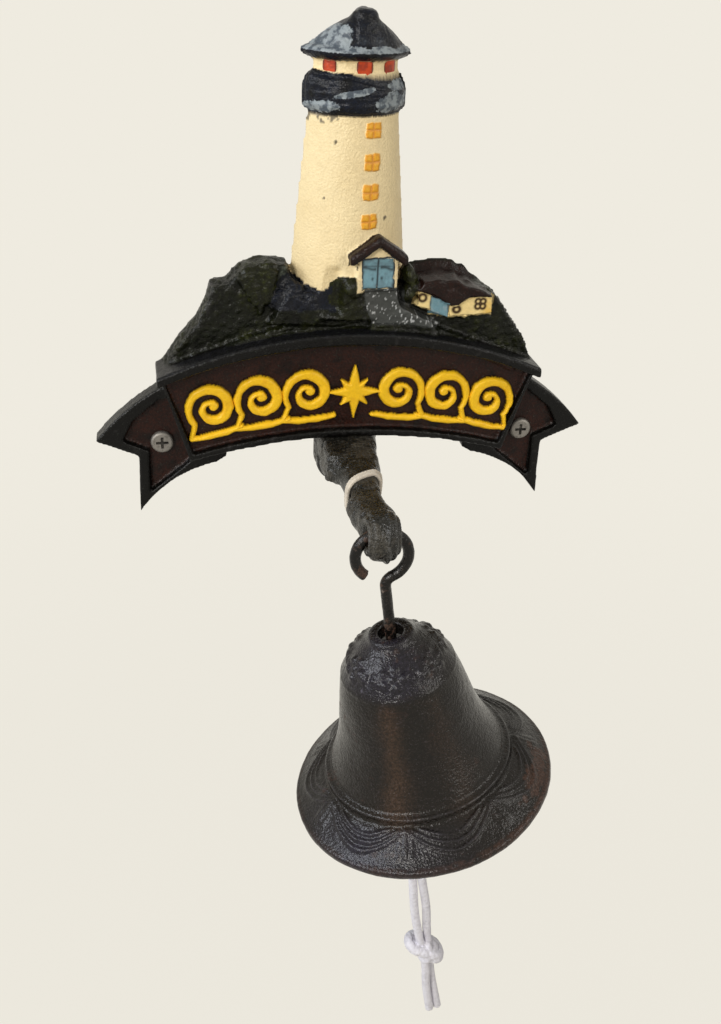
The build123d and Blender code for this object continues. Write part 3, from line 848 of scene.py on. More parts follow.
@dataclass(frozen=True)
class Enamel:
    """Brushed-on enamel over a sand casting, in the colours stored on the mesh, with painted shade in the
    hollows and painted glints.

    Attributes:
        name: The material's name.
        gloss: Roughness of the paint.
        shine: Strength of its reflections.
        grain_mm: Height of the casting's grain.
        wear: How much metal shows on sharp ridges.
        dirt_and_shade: How much the random patches are darkened and the painted glints show, and how dark the
            painted shade in the hollows is.
    """

    name: str
    gloss: float
    shine: float
    grain_mm: float
    wear: float
    dirt_and_shade: float

    def material(self) -> bpy.types.Material:
        """Builds the material.

        Returns:
            The material.
        """
        recipe = Recipe(self.name)
        paint = recipe.node("ShaderNodeVertexColor", {}, layer_name="paint")
        chips = recipe.node("ShaderNodeVertexColor", {}, out="Alpha", layer_name="paint")
        tone = recipe.noise(2.6, 5.0)
        fine = recipe.noise(0.35, 3.0)
        mottle = recipe.noise(0.9, 4.0, 0.7)
        grain = recipe.grains(0.75)
        dark = recipe.node(
            "ShaderNodeMix",
            {0: tone.between(0.35, 0.75) * (0.45 * self.dirt_and_shade), 6: paint, 7: (0.0, 0.0, 0.0)},
            2,
            data_type="RGBA",
        )
        dark = ((0.62 - mottle).between(0.0, 0.2) * (0.55 * self.dirt_and_shade)).mix(dark, Paint.BLACK.value)
        bare = tone.between(0.42, 0.58).mix(Paint.SLATE.value, Paint.PALE.value)
        chipped = (chips + (mottle - 0.5) * 0.5 + (tone - 0.5) * 0.3).between(0.485, 0.515)
        dark = chipped.mix(dark, bare)
        ridge_wear = (recipe.raised() + fine * 0.06).between(0.555, 0.66) * self.wear
        colour = ridge_wear.mix(dark, Paint.GREY_METAL_AND_GLINT.value)
        # Painted shade: the hollows are darkened towards black.
        hollow = (0.5 - recipe.raised()).between(0.02, 0.12) * (0.6 * self.dirt_and_shade)
        colour = hollow.mix(colour, Paint.BLACK.value)
        # Painted glints: light specks where the fine noise peaks.
        glints = recipe.noise(0.5, 2.0, 0.8).between(0.62, 0.68) * tone.between(0.45, 0.62) * (0.3 * self.dirt_and_shade)
        colour = glints.mix(colour, Paint.GLINT_GREY.value)
        rough = self.gloss + tone * 0.25 + fine * 0.12 - 0.12
        slope = recipe.bump(grain, -self.grain_mm, 0.6)
        slope = recipe.bump(tone, 0.6, 0.4, slope)
        slope = recipe.bump(fine, 0.08, 0.7, slope)
        return recipe.finish(Base_Color=colour, Roughness=rough, Normal=slope, Specular_IOR_Level=self.shine)


@dataclass(frozen=True)
class Iron:
    """Dark enamel on rough iron, rubbed through in places, with a painted sheen on ridges and peaks.

    Attributes:
        name: The material's name.
        base: Colour of the enamel, or None where the mesh holds it.
        patch: Colour where it is rubbed through.
        painted_sheen: Colour of the painted sheen on high ridges and mottled peaks.
        gloss: Roughness of the enamel.
        grain_mm: Height of the casting's grain.
        patches: Noise levels between which the enamel gives way.
        shine: Strength of its reflections.
    """

    name: str
    base: Optional[Colour]
    patch: Colour
    painted_sheen: Colour
    gloss: float
    grain_mm: float
    patches: Tuple[float, float]
    shine: float

    def material(self) -> bpy.types.Material:
        """Builds the material.

        Returns:
            The material.
        """
        base = self.base
        recipe = Recipe(self.name)
        wide = recipe.noise(14.0, 5.0, 0.6)
        tone = recipe.noise(2.2, 6.0, 0.6)
        fine = recipe.noise(0.4, 3.0)
        grain = recipe.grains(0.85)
        small = recipe.grains(0.45)
        if base is None:
            base = recipe.node("ShaderNodeVertexColor", {}, layer_name="paint")
        bare = (wide * 0.6 + tone * 0.4).between(*self.patches)
        colour = bare.mix(base, self.patch)
        colour = (tone.between(0.5, 0.8) * 0.5).mix(colour, Paint.BLACK.value)
        mottle = recipe.noise(0.8, 4.0, 0.75)
        colour = ((0.6 - mottle).between(0.0, 0.22) * 0.7).mix(colour, Paint.BLACK.value)
        # Painted sheen: the mottle's peaks are lightened towards the sheen colour.
        colour = (mottle.between(0.56, 0.7) * 0.35).mix(colour, self.painted_sheen)
        # Painted sheen along the sharp ridges.
        edge = (recipe.raised() + tone * 0.08).between(0.56, 0.68) * 0.75
        colour = edge.mix(colour, self.painted_sheen)
        rough = self.gloss + bare * 0.22 + tone * 0.2 - 0.1
        slope = recipe.bump(grain, -self.grain_mm, 0.6)
        slope = recipe.bump(small, -0.4 * self.grain_mm, 0.6, slope)
        slope = recipe.bump(tone, 0.35, 0.5, slope)
        slope = recipe.bump(fine, 0.04, 0.7, slope)
        return recipe.finish(Base_Color=colour, Roughness=rough, Normal=slope, Specular_IOR_Level=self.shine)


@dataclass(frozen=True)
class PlatedSteel:
    """Bright plated steel of the screws, a little scratched and dirty, with painted shade in the recesses."""

    name: str = "plated steel"
    bright: Colour = srgb(132, 128, 122)
    dull: Colour = srgb(62, 58, 54)

    def material(self) -> bpy.types.Material:
        """Builds the material.

        Returns:
            The material.
        """
        recipe = Recipe(self.name)
        scratch = recipe.noise(0.25, 4.0, 0.7, (1.0, 1.0, 7.0))
        tone = recipe.noise(1.4, 4.0)
        dirt_and_shade = (tone.between(0.5, 0.72) * 0.5).mix(self.bright, self.dull)
        # Painted shade: hollows such as the cross recess are darkened towards black.
        hollow = (0.5 - recipe.raised()).between(0.01, 0.08) * 0.9
        colour = hollow.mix(dirt_and_shade, Paint.BLACK.value)
        slope = recipe.bump(scratch, 0.03, 0.6)
        return recipe.finish(Base_Color=colour, Metallic=0.6, Roughness=0.38 + scratch * 0.25, Normal=slope)


@dataclass(frozen=True)
class Cotton:
    """Braided cotton, with painted shade between the yarns.

    Attributes:
        name: The material's name.
        base: Colour of the yarn.
        shade: Darker colour of the random tone, also painted as shade between the yarns.
    """

    name: str
    base: Colour
    shade: Colour

    def material(self) -> bpy.types.Material:
        """Builds the material.

        Returns:
            The material.
        """
        recipe = Recipe(self.name)
        fuzz = recipe.noise(0.18, 3.0, 0.7)
        tone = recipe.noise(3.0, 4.0)
        colour = (tone.between(0.4, 0.75) * 0.35).mix(self.base, self.shade)
        # Painted shade: the hollows between the yarns are darkened towards the shade colour.
        hollow = (0.5 - recipe.raised()).between(0.005, 0.09) * 0.75
        colour = hollow.mix(colour, self.shade)
        slope = recipe.bump(fuzz, 0.07, 0.8)
        return recipe.finish(Base_Color=colour, Roughness=0.86 + fuzz * 0.1, Normal=slope, Sheen_Weight=0.25)


# Plaque


class Zone(Enum):
    """Regions of the plaque that are painted and shaped alike."""

    BACK = 0
    TAIL_RIM = 1
    TAIL_FIELD = 2
    BANNER_RIM = 3
    BANNER_FIELD = 4
    LEDGE = 5
    HILL = 6
    ROCK = 7
    FAN = 8
    CLUMP = 9
    TOWER = 10
    GALLERY = 11
    LANTERN = 12
    ROOF = 13
    PORCH = 14
    PORCH_ROOF = 15
    COTTAGE = 17
    COTTAGE_ROOF = 18
    PATH = 19


@dataclass
class WallPlaque:
    """The painted casting: tails, banner, ledge, hill, tower, porch and cottage."""

    fineness: float = 0.7
    left_fan: Outline = (
        (-43.0, 69.5), (-35.0, 73.0), (-28.4, 71.5), (-27.2, 64.8), (-32.5, 52.4), (-39.8, 62.0)
    )
    clump: Outline = ((-28.4, 73.0), (-21.0, 73.0), (-21.0, 65.4), (-26.9, 63.6))
    rocks: Outline = (
        (-31.6, 53.2), (-29.1, 60.8), (-26.3, 64.9), (-23.0, 66.0), (-15.0, 62.0), (-7.8, 62.0), (-7.4, 53.0)
    )
    path: Outline = (
        (2.2, 61.4), (17.2, 62.0), (17.8, 56.4), (20.6, 52.6), (27.2, 49.4), (33.0, 46.4), (31.6, 45.6),
        (19.0, 47.6), (6.2, 48.2), (3.4, 54.7),
    )
    cottage_roof: Outline = (
        (22.4, 60.2), (23.4, 66.0), (26.5, 76.0), (38.0, 76.0), (42.6, 71.0), (49.0, 66.0), (54.6, 56.4),
        (47.8, 57.4), (42.2, 57.1), (37.9, 54.1), (34.9, 54.2), (30.9, 56.5), (25.9, 58.1),
    )
    bushes: Sequence[Tuple[float, ...]] = (
        (-1.2, 59.6, 5.0, 6.4), (-2.2, 53.6, 4.4, 5.4), (-7.4, 57.0, 2.8, 2.6), (20.4, 62.6, 4.6, 8.6)
    )
    wall_left: Outline = ((22.4, 60.0), (28.3, 57.9), (28.5, 52.8), (22.2, 54.0))
    wall_right: Outline = ((34.2, 54.4), (38.5, 54.8), (42.4, 57.4), (52.0, 57.2), (51.8, 50.9), (35.5, 50.0))
    cottage_door: Outline = ((27.6, 57.9), (34.6, 55.4), (34.9, 49.0), (27.9, 50.3))
    porch_roof: Outline = ((-2.9, 70.8), (6.9, 77.6), (16.7, 70.8), (16.7, 73.7), (6.9, 80.5), (-2.9, 73.7))
    gallery_chips: Sequence[Tuple[float, ...]] = (
        (-14.0, 121.6, 6.0, 1.9, 0.1), (-3.0, 126.4, 7.4, 1.1, 0.2), (10.4, 123.6, 6.6, 3.3, 0.1),
        (13.0, 128.4, 4.0, 1.6, 0.0),
    )
    tower_x: float = -1.3
    tower_axis_y: float = 7.0

    def lumps(self) -> List[Solid]:
        """Rounded masses that the plaque's modeller put on: the roof's swell, bushes and rocks.

        Returns:
            Closed shapes.
        """
        roof = [
            (-0.9, 7.0, 138.0, 17.4), (-0.9, 5.4, 140.4, 16.7), (-0.9, 4.0, 142.0, 15.0),
            (-0.6, 1.8, 144.0, 12.4), (-0.4, -0.8, 146.0, 9.4), (0.0, -2.8, 147.6, 6.8),
            (0.3, -4.0, 148.8, 5.0), (0.5, -4.6, 149.8, 4.5), (0.6, -5.0, 151.0, 3.9),
            (0.6, -5.4, 151.9, 2.4),
        ]
        turn = np.linspace(0, 2 * math.pi, 13)
        eave = [
            (self.tower_x, self.tower_axis_y, 138.2 - 1.9 * math.cos(a), 17.3 + 1.9 * math.sin(a))
            for a in turn[:7]
        ]
        deck = [
            (self.tower_x, self.tower_axis_y, 119.6, 16.4),
            (self.tower_x, self.tower_axis_y, 120.6, 18.6),
            (self.tower_x, self.tower_axis_y, 122.0, 19.3),
            (self.tower_x, self.tower_axis_y, 125.2, 19.0),
            (self.tower_x, self.tower_axis_y, 126.3, 17.9),
            (self.tower_x, self.tower_axis_y, 127.4, 18.6),
            (self.tower_x, self.tower_axis_y, 130.4, 17.9),
            (self.tower_x, self.tower_axis_y, 131.6, 16.4),
        ]
        return [
            leaning_turned(roof),
            leaning_turned(eave),
            leaning_turned(deck),
            ball(-1.4, -14.5, 61.8, 3.9, 4.6, 4.2),
            ball(-1.2, -13.2, 55.2, 3.4, 4.2, 5.0),
            ball(-4.6, -12.6, 53.0, 4.4, 3.6, 3.6),
            ball(19.6, -10.0, 66.0, 3.0, 4.6, 4.0),
            ball(21.6, -10.0, 61.6, 2.8, 4.6, 3.6),
            ball(19.4, -10.2, 58.6, 2.4, 4.2, 3.6),
            ball(-15.5, -9.6, 56.4, 4.4, 3.6, 3.4),
            ball(-22.0, -9.4, 58.6, 4.4, 3.4, 4.4),
            ball(-28.0, -9.4, 56.0, 3.6, 3.2, 3.8),
            ball(-9.6, -9.8, 54.8, 3.4, 3.6, 3.2),
        ]

    def tower_half(self, z: np.ndarray) -> np.ndarray:
        """Half width of the tower's shaft at each height.

        Args:
            z: Heights in millimetres.

        Returns:
            Half widths in millimetres.
        """
        return 22.6 + (16.0 - 22.6) * np.clip((z - 50.0) / 69.2, 0, 1)

    def zones(self, points: np.ndarray, normals: np.ndarray) -> np.ndarray:
        """Sorts the plaque's vertices into zones.

        Args:
            points: Vertices in millimetres.
            normals: Their normals.

        Returns:
            The zone's number for each vertex.
        """
        x, y, z = points.T
        wobble = 0.6 * NOISE.smooth(points, 4.0)
        out = np.full(len(points), Zone.BACK.value)
        ledge_low = arch_height(x, 71.8, 26.6, 41.2)
        ledge_high = arch_height(x, 71.8, 30.3, 45.8)
        banner_low = arch_height(x, 60.6, -4.6, 3.6)
        radial = np.hypot(x - self.tower_x, y - self.tower_axis_y)
        shaft = np.hypot(self.tower_half(z), self.tower_axis_y)
        hollow = (
            (z > 66) & (z < 118) & (radial < shaft - 2.4)
            & (np.abs(x - self.tower_x) < self.tower_half(z) - 2.4)
        )
        shown = (y < 0.6) & (normals[:, 1] < 0.35) & ~hollow
        out[shown & (y > -8.6)] = Zone.TAIL_RIM.value
        out[shown & (y > -5.7) & (y < -4.7)] = Zone.TAIL_FIELD.value
        side = 60.6 + (z + 4.6) * 9.9 / 31.2
        in_banner = (np.abs(x) < side + 0.3) & (z < ledge_low + 0.2) & (y < -8.6)
        out[in_banner] = Zone.BANNER_RIM.value
        out[in_banner & (y > -13.4) & (z > banner_low + 2.2)] = Zone.BANNER_FIELD.value
        on_ledge = (z >= ledge_low - 0.2) & (z < ledge_high + 0.8)
        out[on_ledge & (y < -12.0)] = Zone.LEDGE.value
        hill = shown & (z > ledge_high + 0.2) & (z < 74)
        out[hill] = Zone.HILL.value
        out[hill & (outline_distance(x, z, self.left_fan) + wobble < 0)] = Zone.FAN.value
        out[hill & (outline_distance(x, z, self.clump) + wobble < 0)] = Zone.CLUMP.value
        foot = (
            np.interp(
                x,
                [-24, -19.9, -16.1, -12.4, -8.7, -6.7, -4.1, 20],
                [65.3, 62.8, 61.0, 60.2, 61.7, 64.8, 66.0, 62.0],
            )
            + 0.5 * wobble
        )
        on_tower = (
            shown & (z > foot) & (radial < shaft + 0.9) & (np.abs(x - self.tower_x) < self.tower_half(z) + 1)
        )
        out[on_tower & (z < 119.4)] = Zone.TOWER.value
        rocks = hill & (outline_distance(x, z, self.rocks) + wobble < 0)
        out[rocks & ~on_tower] = Zone.ROCK.value
        leafy = np.zeros(len(x), dtype=bool)
        for bx, bz, rx, rz in self.bushes:
            leafy |= np.hypot((x - bx) / rx, (z - bz) / rz) + 0.1 * wobble < 1
        out[leafy & (y < -11.6) & (radial > shaft - 0.5) & (z < 71)] = Zone.FAN.value
        out[shown & (z >= 119.0 + 0.6 * wobble) & (z < 134.0)] = Zone.GALLERY.value
        out[shown & (z >= 131.6) & (z < 137.4) & (radial < 16.9)] = Zone.LANTERN.value
        out[shown & (z >= 134.0) & (radial >= 16.9)] = Zone.ROOF.value
        out[shown & (z >= 137.4)] = Zone.ROOF.value
        porch = (y < -15.9) & (np.abs(x - 6.9) < 7.8) & (z > 60.6) & (z < 79)
        out[porch] = Zone.PORCH.value
        out[(y < -17.2) & (z > 68) & (z < 82) & (np.abs(x - 6.9) < 12)] = Zone.PORCH_ROOF.value
        out[(y < -13.2) & (outline_distance(x, z, self.porch_roof) < 0.6)] = Zone.PORCH_ROOF.value
        out[hill & (outline_distance(x, z, self.path) < 0.2) & (z < 62.6)] = Zone.PATH.value
        low = hill & (y < -9.5)
        out[
            low
            & (
                (outline_distance(x, z, self.wall_left) < 0.3)
                | (outline_distance(x, z, self.wall_right) < 0.3)
            )
        ] = Zone.COTTAGE.value
        out[low & (outline_distance(x, z, self.cottage_door) < 0.2)] = Zone.COTTAGE.value
        out[
            (low | (hill & (z > 62))) & (outline_distance(x, z, self.cottage_roof) < 0.4) & (y < -1.5)
        ] = Zone.COTTAGE_ROOF.value
        return out

    def leaf_height(self, points: np.ndarray) -> np.ndarray:
        """Height of modelled leaves.

        Args:
            points: Vertices in millimetres.

        Returns:
            Heights in millimetres.
        """
        first, second, _ = NOISE.cells(points * np.array([1.0, 0.6, 1.0]), 2.7)
        small, beside, _ = NOISE.cells(points * np.array([1.0, 0.6, 1.0]) + 40, 1.5)
        tufts = 0.6 * np.minimum(second - first, 0.5) / 0.5 + 0.5 * np.minimum(beside - small, 0.5) / 0.5
        return tufts - 0.35 + 0.7 * NOISE.fractal(points, 8.0)

    def shape(self, plate: Casting) -> Tuple[np.ndarray, np.ndarray]:
        """Models leaves, stones, grooves and the casting's unevenness.

        Args:
            plate: The plaque.

        Returns:
            The zone of each vertex, and how high it stands among the leaves.
        """
        zone = self.zones(plate.points, plate.normals)
        p = plate.points
        x, y, z = p.T
        back = step_up(-1.0, -3.0, y)
        lumpy = NOISE.fractal(p, 9.0)
        fine = NOISE.fractal(p, 2.2)
        height = 0.22 * lumpy + 0.08 * fine
        leaf = self.leaf_height(p)
        height = np.where(zone == Zone.HILL.value, 0.85 * leaf, height)
        spread = np.arctan2(x + 32.5, z - 49.0)
        ribs = np.where(x < -20, 0.45 * np.sin(spread * 15.0 + NOISE.smooth(p, 6.0)), 0.0)
        height = np.where(zone == Zone.FAN.value, 0.55 * leaf + ribs, height)
        height = np.where(zone == Zone.CLUMP.value, 0.6 * leaf + 0.3 * fine, height)
        near, beside, mark = NOISE.cells(p * np.array([0.8, 0.5, 1.25]) + 12, 3.6)
        crack = ridge(beside - near, 0.1)
        layers = np.abs(np.sin(z * 1.3 + 0.35 * x + NOISE.smooth(p, 6.0)))
        stones = 0.45 * lumpy + 0.9 * (mark - 0.5) + 0.16 * layers - 0.6 * crack
        height = np.where(zone == Zone.ROCK.value, stones, height)
        pits = NOISE.cells(p, 2.4)[0]
        shaft = 0.16 * lumpy + 0.03 * fine - 0.1 * ridge(pits, 0.12)
        height = np.where(zone == Zone.TOWER.value, shaft, height)
        strata = 0.22 * np.sin(z * 3.1 + 2.0 * NOISE.smooth(p, 7.0))
        jag = 0.55 * NOISE.smooth(p * np.array([1, 1, 0.6]), 3.6) + 0.25 * fine + 0.3 * lumpy + strata
        shoulder = 1.3 * step_up(-10.0, -16.0, x) * step_up(126.0, 130.5, z)
        height = np.where(zone == Zone.GALLERY.value, 0.75 * jag + shoulder, height)
        turn = np.arctan2(x - self.tower_x, -(y - self.tower_axis_y))
        grooves = ridge(np.sin(turn * 4.5 + 0.5) / 1.0, 0.13) * step_up(139.5, 142.0, z)
        roof = 0.35 * lumpy + 0.22 * fine - 0.3 * grooves
        height = np.where(zone == Zone.ROOF.value, roof, height)
        height = np.where(zone == Zone.LANTERN.value, 0.1 * lumpy, height)
        flat = (zone == Zone.PORCH.value) | (zone == Zone.COTTAGE.value)
        height = np.where(flat, 0.12 * fine, height)
        height = np.where(zone == Zone.COTTAGE_ROOF.value, 0.35 * lumpy + 0.35 * NOISE.smooth(p, 3.0), height)
        height = np.where(zone == Zone.PORCH_ROOF.value, 0.55 + 0.3 * lumpy + 0.15 * fine, height)
        height = np.where(zone == Zone.PATH.value, 0.3 * NOISE.fractal(p, 2.0), height)
        near_arm = (np.abs(x) < 13.5) & (z < 6) & (y > -34)
        near_screw = np.hypot(np.abs(x) - 70.6, z) < 6.5
        calm = np.where(near_arm | near_screw, 0.0, 1.0)
        plate.push(height * back * calm)
        deck = (zone == Zone.GALLERY.value) & (z > 126)
        x, y, z = plate.points.T
        drop = 2.4 * step_up(-8.0, 9.0, x) * step_up(126.0, 130.5, z) * deck
        sink = (
            3.0 * step_up(58.0, 67.0, z) * step_up(17.0, 24.0, x) * step_up(56.0, 46.0, x)
            * step_up(76.0, 74.0, z) * back
        )
        settled = plate.points.copy()
        settled[:, 2] -= sink + drop
        bush = (
            step_up(-4.4, -7.0, x) * step_up(-15.0, -13.0, x) * step_up(51.0, 54.0, z)
            * step_up(70.0, 67.0, z)
        )
        settled[:, 1] += bush * np.clip(-12.6 - y, 0.0, 4.5)
        plate.move(settled)
        return zone, leaf

    def paint(self, plate: Casting, zone: np.ndarray, leaf: np.ndarray) -> None:
        """Paints the plaque's zones.

        Args:
            plate: The plaque.
            zone: The zone of each vertex.
            leaf: How high each vertex stands among the leaves.
        """
        p = plate.points
        x, y, z = p.T
        facing = -plate.normals[:, 1]
        top = plate.normals[:, 2]
        wide = NOISE.fractal(p, 11.0)
        mid = NOISE.fractal(p + 90, 4.0)
        fine = NOISE.fractal(p + 50, 1.4)
        colour = np.tile(np.array(Paint.BLACK.value), (len(p), 1))

        def lay(which: np.ndarray, paint: Paint, amount: np.ndarray) -> None:
            """Lays a paint on some vertices.

            Args:
                which: The vertices.
                paint: The paint.
                amount: How much of it.
            """
            colour[:] = blend(colour, paint.value, np.where(which, amount, 0.0))

        ones = np.ones(len(p))
        field = (zone == Zone.TAIL_FIELD.value) | (zone == Zone.BANNER_FIELD.value)
        lay(field & (facing > 0.55), Paint.MAROON, step_up(-0.9, 0.0, mid + 0.5 * wide))
        rim = (zone == Zone.TAIL_RIM.value) | (zone == Zone.BANNER_RIM.value) | (zone == Zone.LEDGE.value)
        lay(rim, Paint.GREY_METAL_AND_GLINT, 0.3 * step_up(0.55, 0.75, fine + mid))
        # Painted light: the ledge's upward-facing top is lightened with stone grey.
        lay((zone == Zone.LEDGE.value) & (top > 0.4), Paint.STONE_AND_LEDGE_LIGHT, 0.25 + 0.25 * fine)
        hill = zone == Zone.HILL.value
        lay(hill, Paint.LEAF, 0.9 * ones)
        lay(hill, Paint.OLIVE, step_up(-0.15, 0.55, mid + 0.35 * fine) * step_up(-0.3, 0.3, wide + 0.25))
        lay(hill, Paint.LEAF_DARK, step_up(0.1, 0.6, -mid))
        lay(hill, Paint.MOSS, 0.75 * step_up(0.25, 0.75, leaf) * step_up(-0.5, 0.3, wide + 0.4 * mid))
        lay(hill, Paint.LEAF_DARK, 0.8 * step_up(-0.05, -0.5, leaf))
        # Painted highlights: light grey specks along the hill's left edge.
        lay(hill & (x < -44), Paint.GREY_METAL_AND_GLINT, 0.5 * step_up(0.1, 0.6, fine + wide))
        fan = zone == Zone.FAN.value
        lay(fan, Paint.OLIVE, 0.95 * ones)
        lay(fan, Paint.LEAF_DARK, step_up(0.1, 0.6, -mid - 0.3 * fine) * 0.9)
        lay(fan, Paint.MOSS, 0.8 * step_up(0.2, 0.7, leaf))
        clump = zone == Zone.CLUMP.value
        lay(clump, Paint.LEAF, ones)
        # Painted glints: light specks over the clump.
        lay(clump, Paint.GLINT_GREY, step_up(0.05, 0.5, fine) * 0.75)
        rock = zone == Zone.ROCK.value
        lay(rock, Paint.STONE_AND_LEDGE_LIGHT, 0.85 * ones)
        lay(rock, Paint.NAVY, step_up(-0.3, 0.3, mid))
        lay(rock, Paint.LEAF, 0.8 * step_up(50.0, 47.5, z))
        tower = zone == Zone.TOWER.value
        lay(tower, Paint.CREAM, ones)
        lay(tower, Paint.CREAM_SHADE, 0.4 * step_up(-0.4, 0.6, wide + 0.2 * mid))
        splash = (z > 114.5) & (x < -8) & (fine > 0.62 - 0.16 * (z - 114.5))
        lay(tower & splash, Paint.NAVY, 0.75 * ones)
        for cx, cz, r in (
            (-19.0, 104.0, 0.8), (9.6, 85.6, 0.9), (-8.6, 110.6, 0.6), (-12.0, 92.0, 0.5), (2.5, 62.2, 1.0)
        ):
            lay(tower & (np.hypot((x - cx) * 1.4, z - cz) < r), Paint.LINE, 0.85 * ones)
        gallery = zone == Zone.GALLERY.value
        lay(gallery, Paint.NAVY, ones)
        lay(gallery, Paint.BLACK, step_up(0.0, 0.5, -mid) * 0.8)
        streak = NOISE.fractal(p * np.array([0.5, 1, 2.4]) + 33, 5.0)
        chips = np.zeros(len(p))
        for cx, cz, rx, rz, rise in self.gallery_chips:
            worn = np.hypot((x - cx) / rx, (z - cz - rise * (x - cx)) / rz) + 0.25 * mid
            chips = np.maximum(chips, np.where(gallery, 1.0 - 0.5 * worn, 0.0))
        lay(gallery, Paint.SLATE, step_up(0.42, 0.5, streak) * 0.4)
        lantern = zone == Zone.LANTERN.value
        lay(lantern, Paint.CREAM, ones)
        lay(lantern, Paint.CREAM_SHADE, 0.5 * step_up(-0.2, 0.5, mid))
        roof = zone == Zone.ROOF.value
        lay(roof, Paint.NAVY, ones)
        lay(roof, Paint.BLACK, 0.7 * step_up(-0.1, 0.5, -mid))
        facet = np.hypot((x + 10.6 - 0.5 * (z - 142.5)) / 5.6, (z - 142.5) / 4.4) + 0.25 * mid
        eave = np.abs(z - 139.5 - 0.4 * mid) / 1.1 + 0.5 * step_up(0.1, -0.5, mid)
        chips = np.maximum(chips, np.where(roof & (z > 138.4), 1.0 - 0.5 * np.minimum(facet, eave), 0.0))
        lay(roof, Paint.SLATE, 0.35 * step_up(0.1, 0.6, fine + mid) * (z > 140))
        porch = zone == Zone.PORCH.value
        lay(porch, Paint.CREAM, ones)
        brown = (zone == Zone.PORCH_ROOF.value) | (zone == Zone.COTTAGE_ROOF.value)
        lay(brown, Paint.ROOF_BROWN, ones)
        lay(brown, Paint.BLACK, 0.5 * step_up(0.1, 0.6, mid))
        lay(zone == Zone.COTTAGE.value, Paint.WALL_YELLOW, ones)
        path = zone == Zone.PATH.value
        lay(path, Paint.PATH, ones)
        lay(path, Paint.FLECK, step_up(0.4, 0.6, fine) * 0.5)
        store_colour(plate.obj, colour, chips)

    def window_art(self, u: np.ndarray, v: np.ndarray) -> Tuple[np.ndarray, np.ndarray]:
        """A small raised window of four panes.

        Args:
            u: Position across from its middle, 1 at the edge.
            v: Position up from its middle, 1 at the edge.

        Returns:
            Height from 0 to 1, and how dark the lines are.
        """
        edge = np.maximum(np.abs(u), np.abs(v)) + 0.12 * (np.abs(u) * np.abs(v))
        body = 1 - step_up(0.78, 1.12, edge)
        bars = np.maximum(ridge(u, 0.16), ridge(v, 0.16))
        frame_line = ridge(edge - 0.86, 0.13)
        return body * (1 - 0.45 * bars), np.maximum(0.85 * bars, 0.55 * frame_line)

    def tower_windows(self, relief: Relief) -> bpy.types.Object:
        """Four amber windows up the shaft.

        Args:
            relief: The plaque's surface.

        Returns:
            The object.
        """
        centres = [
            (4.2, 114.6, 3.1, 2.7), (3.9, 104.4, 3.1, 3.0), (3.7, 94.5, 3.2, 2.9), (3.5, 84.7, 3.1, 2.7)
        ]

        def place(x: np.ndarray, z: np.ndarray) -> Tuple[np.ndarray, np.ndarray]:
            """Heights of all the windows.

            Args:
                x: Positions across.
                z: Heights.

            Returns:
                Height above the surface and the surface's Y.
            """
            flat = np.stack([x, 0 * x, z], axis=1)
            bend_x = x + 0.25 * NOISE.smooth(flat, 1.8)
            bend_z = z + 0.25 * NOISE.smooth(flat + 20, 1.8)
            height = np.full(x.shape, -0.5)
            for cx, cz, rx, rz in centres:
                rise, _ = self.window_art((bend_x - cx) / rx, (bend_z - cz) / rz)
                height = np.maximum(height, np.where(rise > 0.001, 0.75 * rise - 0.1, -0.5))
            return height, relief.depth(x, z, 0.0)

        obj, data = grid_patch("tower_windows", (-0.4, 81.0, 8.2, 118.4), 0.22, place, 0.3)
        flat = np.stack([data[:, 0], 0 * data[:, 0], data[:, 2]], axis=1)
        bend_x = data[:, 0] + 0.25 * NOISE.smooth(flat, 1.8)
        bend_z = data[:, 2] + 0.25 * NOISE.smooth(flat + 20, 1.8)
        colour = np.tile(np.array(Paint.AMBER.value), (len(data), 1))
        for cx, cz, rx, rz in centres:
            _, line = self.window_art((bend_x - cx) / rx, (bend_z - cz) / rz)
            near = (np.abs(data[:, 0] - cx) < rx + 1) & (np.abs(data[:, 2] - cz) < rz + 1)
            colour = blend(colour, Paint.AMBER_LINE.value, np.where(near, 0.85 * line, 0))
        colour = blend(colour, Paint.WALL_YELLOW.value, step_up(0.4, 0.1, data[:, 1]) * 0.8)
        colour = blend(colour, Paint.CREAM.value, step_up(0.12, -0.05, data[:, 1]))
        store_colour(obj, colour)
        return obj

    def lantern_windows(self, relief: Relief) -> bpy.types.Object:
        """Red windows round the lantern room, with painted shade down their sides.

        Args:
            relief: The plaque's surface.

        Returns:
            The object.
        """
        centres = [(-10.9, 134.2, 2.1, 3.3), (0.4, 133.4, 2.8, 4.0), (9.6, 133.0, 2.3, 4.2)]

        def place(x: np.ndarray, z: np.ndarray) -> Tuple[np.ndarray, np.ndarray]:
            """Heights of all the windows.

            Args:
                x: Positions across.
                z: Heights.

            Returns:
                Height above the surface and the surface's Y.
            """
            height = np.full(x.shape, -0.5)
            for cx, cz, rx, rz in centres:
                edge = np.maximum(np.abs(x - cx) / rx, np.abs(z - cz) / rz)
                height = np.maximum(height, 0.55 - 1.1 * step_up(0.8, 1.15, edge))
            wall = self.tower_axis_y - np.sqrt(np.maximum(16.2**2 - (x - self.tower_x) ** 2, 0.01))
            return height, wall

        obj, data = grid_patch("lantern_windows", (-15.2, 129.0, 13.8, 137.4), 0.22, place, 0.3)
        x, rise, z = data.T
        colour = np.tile(np.array(Paint.RED.value), (len(data), 1))
        flat = np.stack([x, 0 * x, z], axis=1)
        colour = blend(colour, Paint.RED_DARK.value, 0.7 * step_up(0.0, 0.5, NOISE.fractal(flat, 2.0)))
        for cx, _, rx, _ in centres:
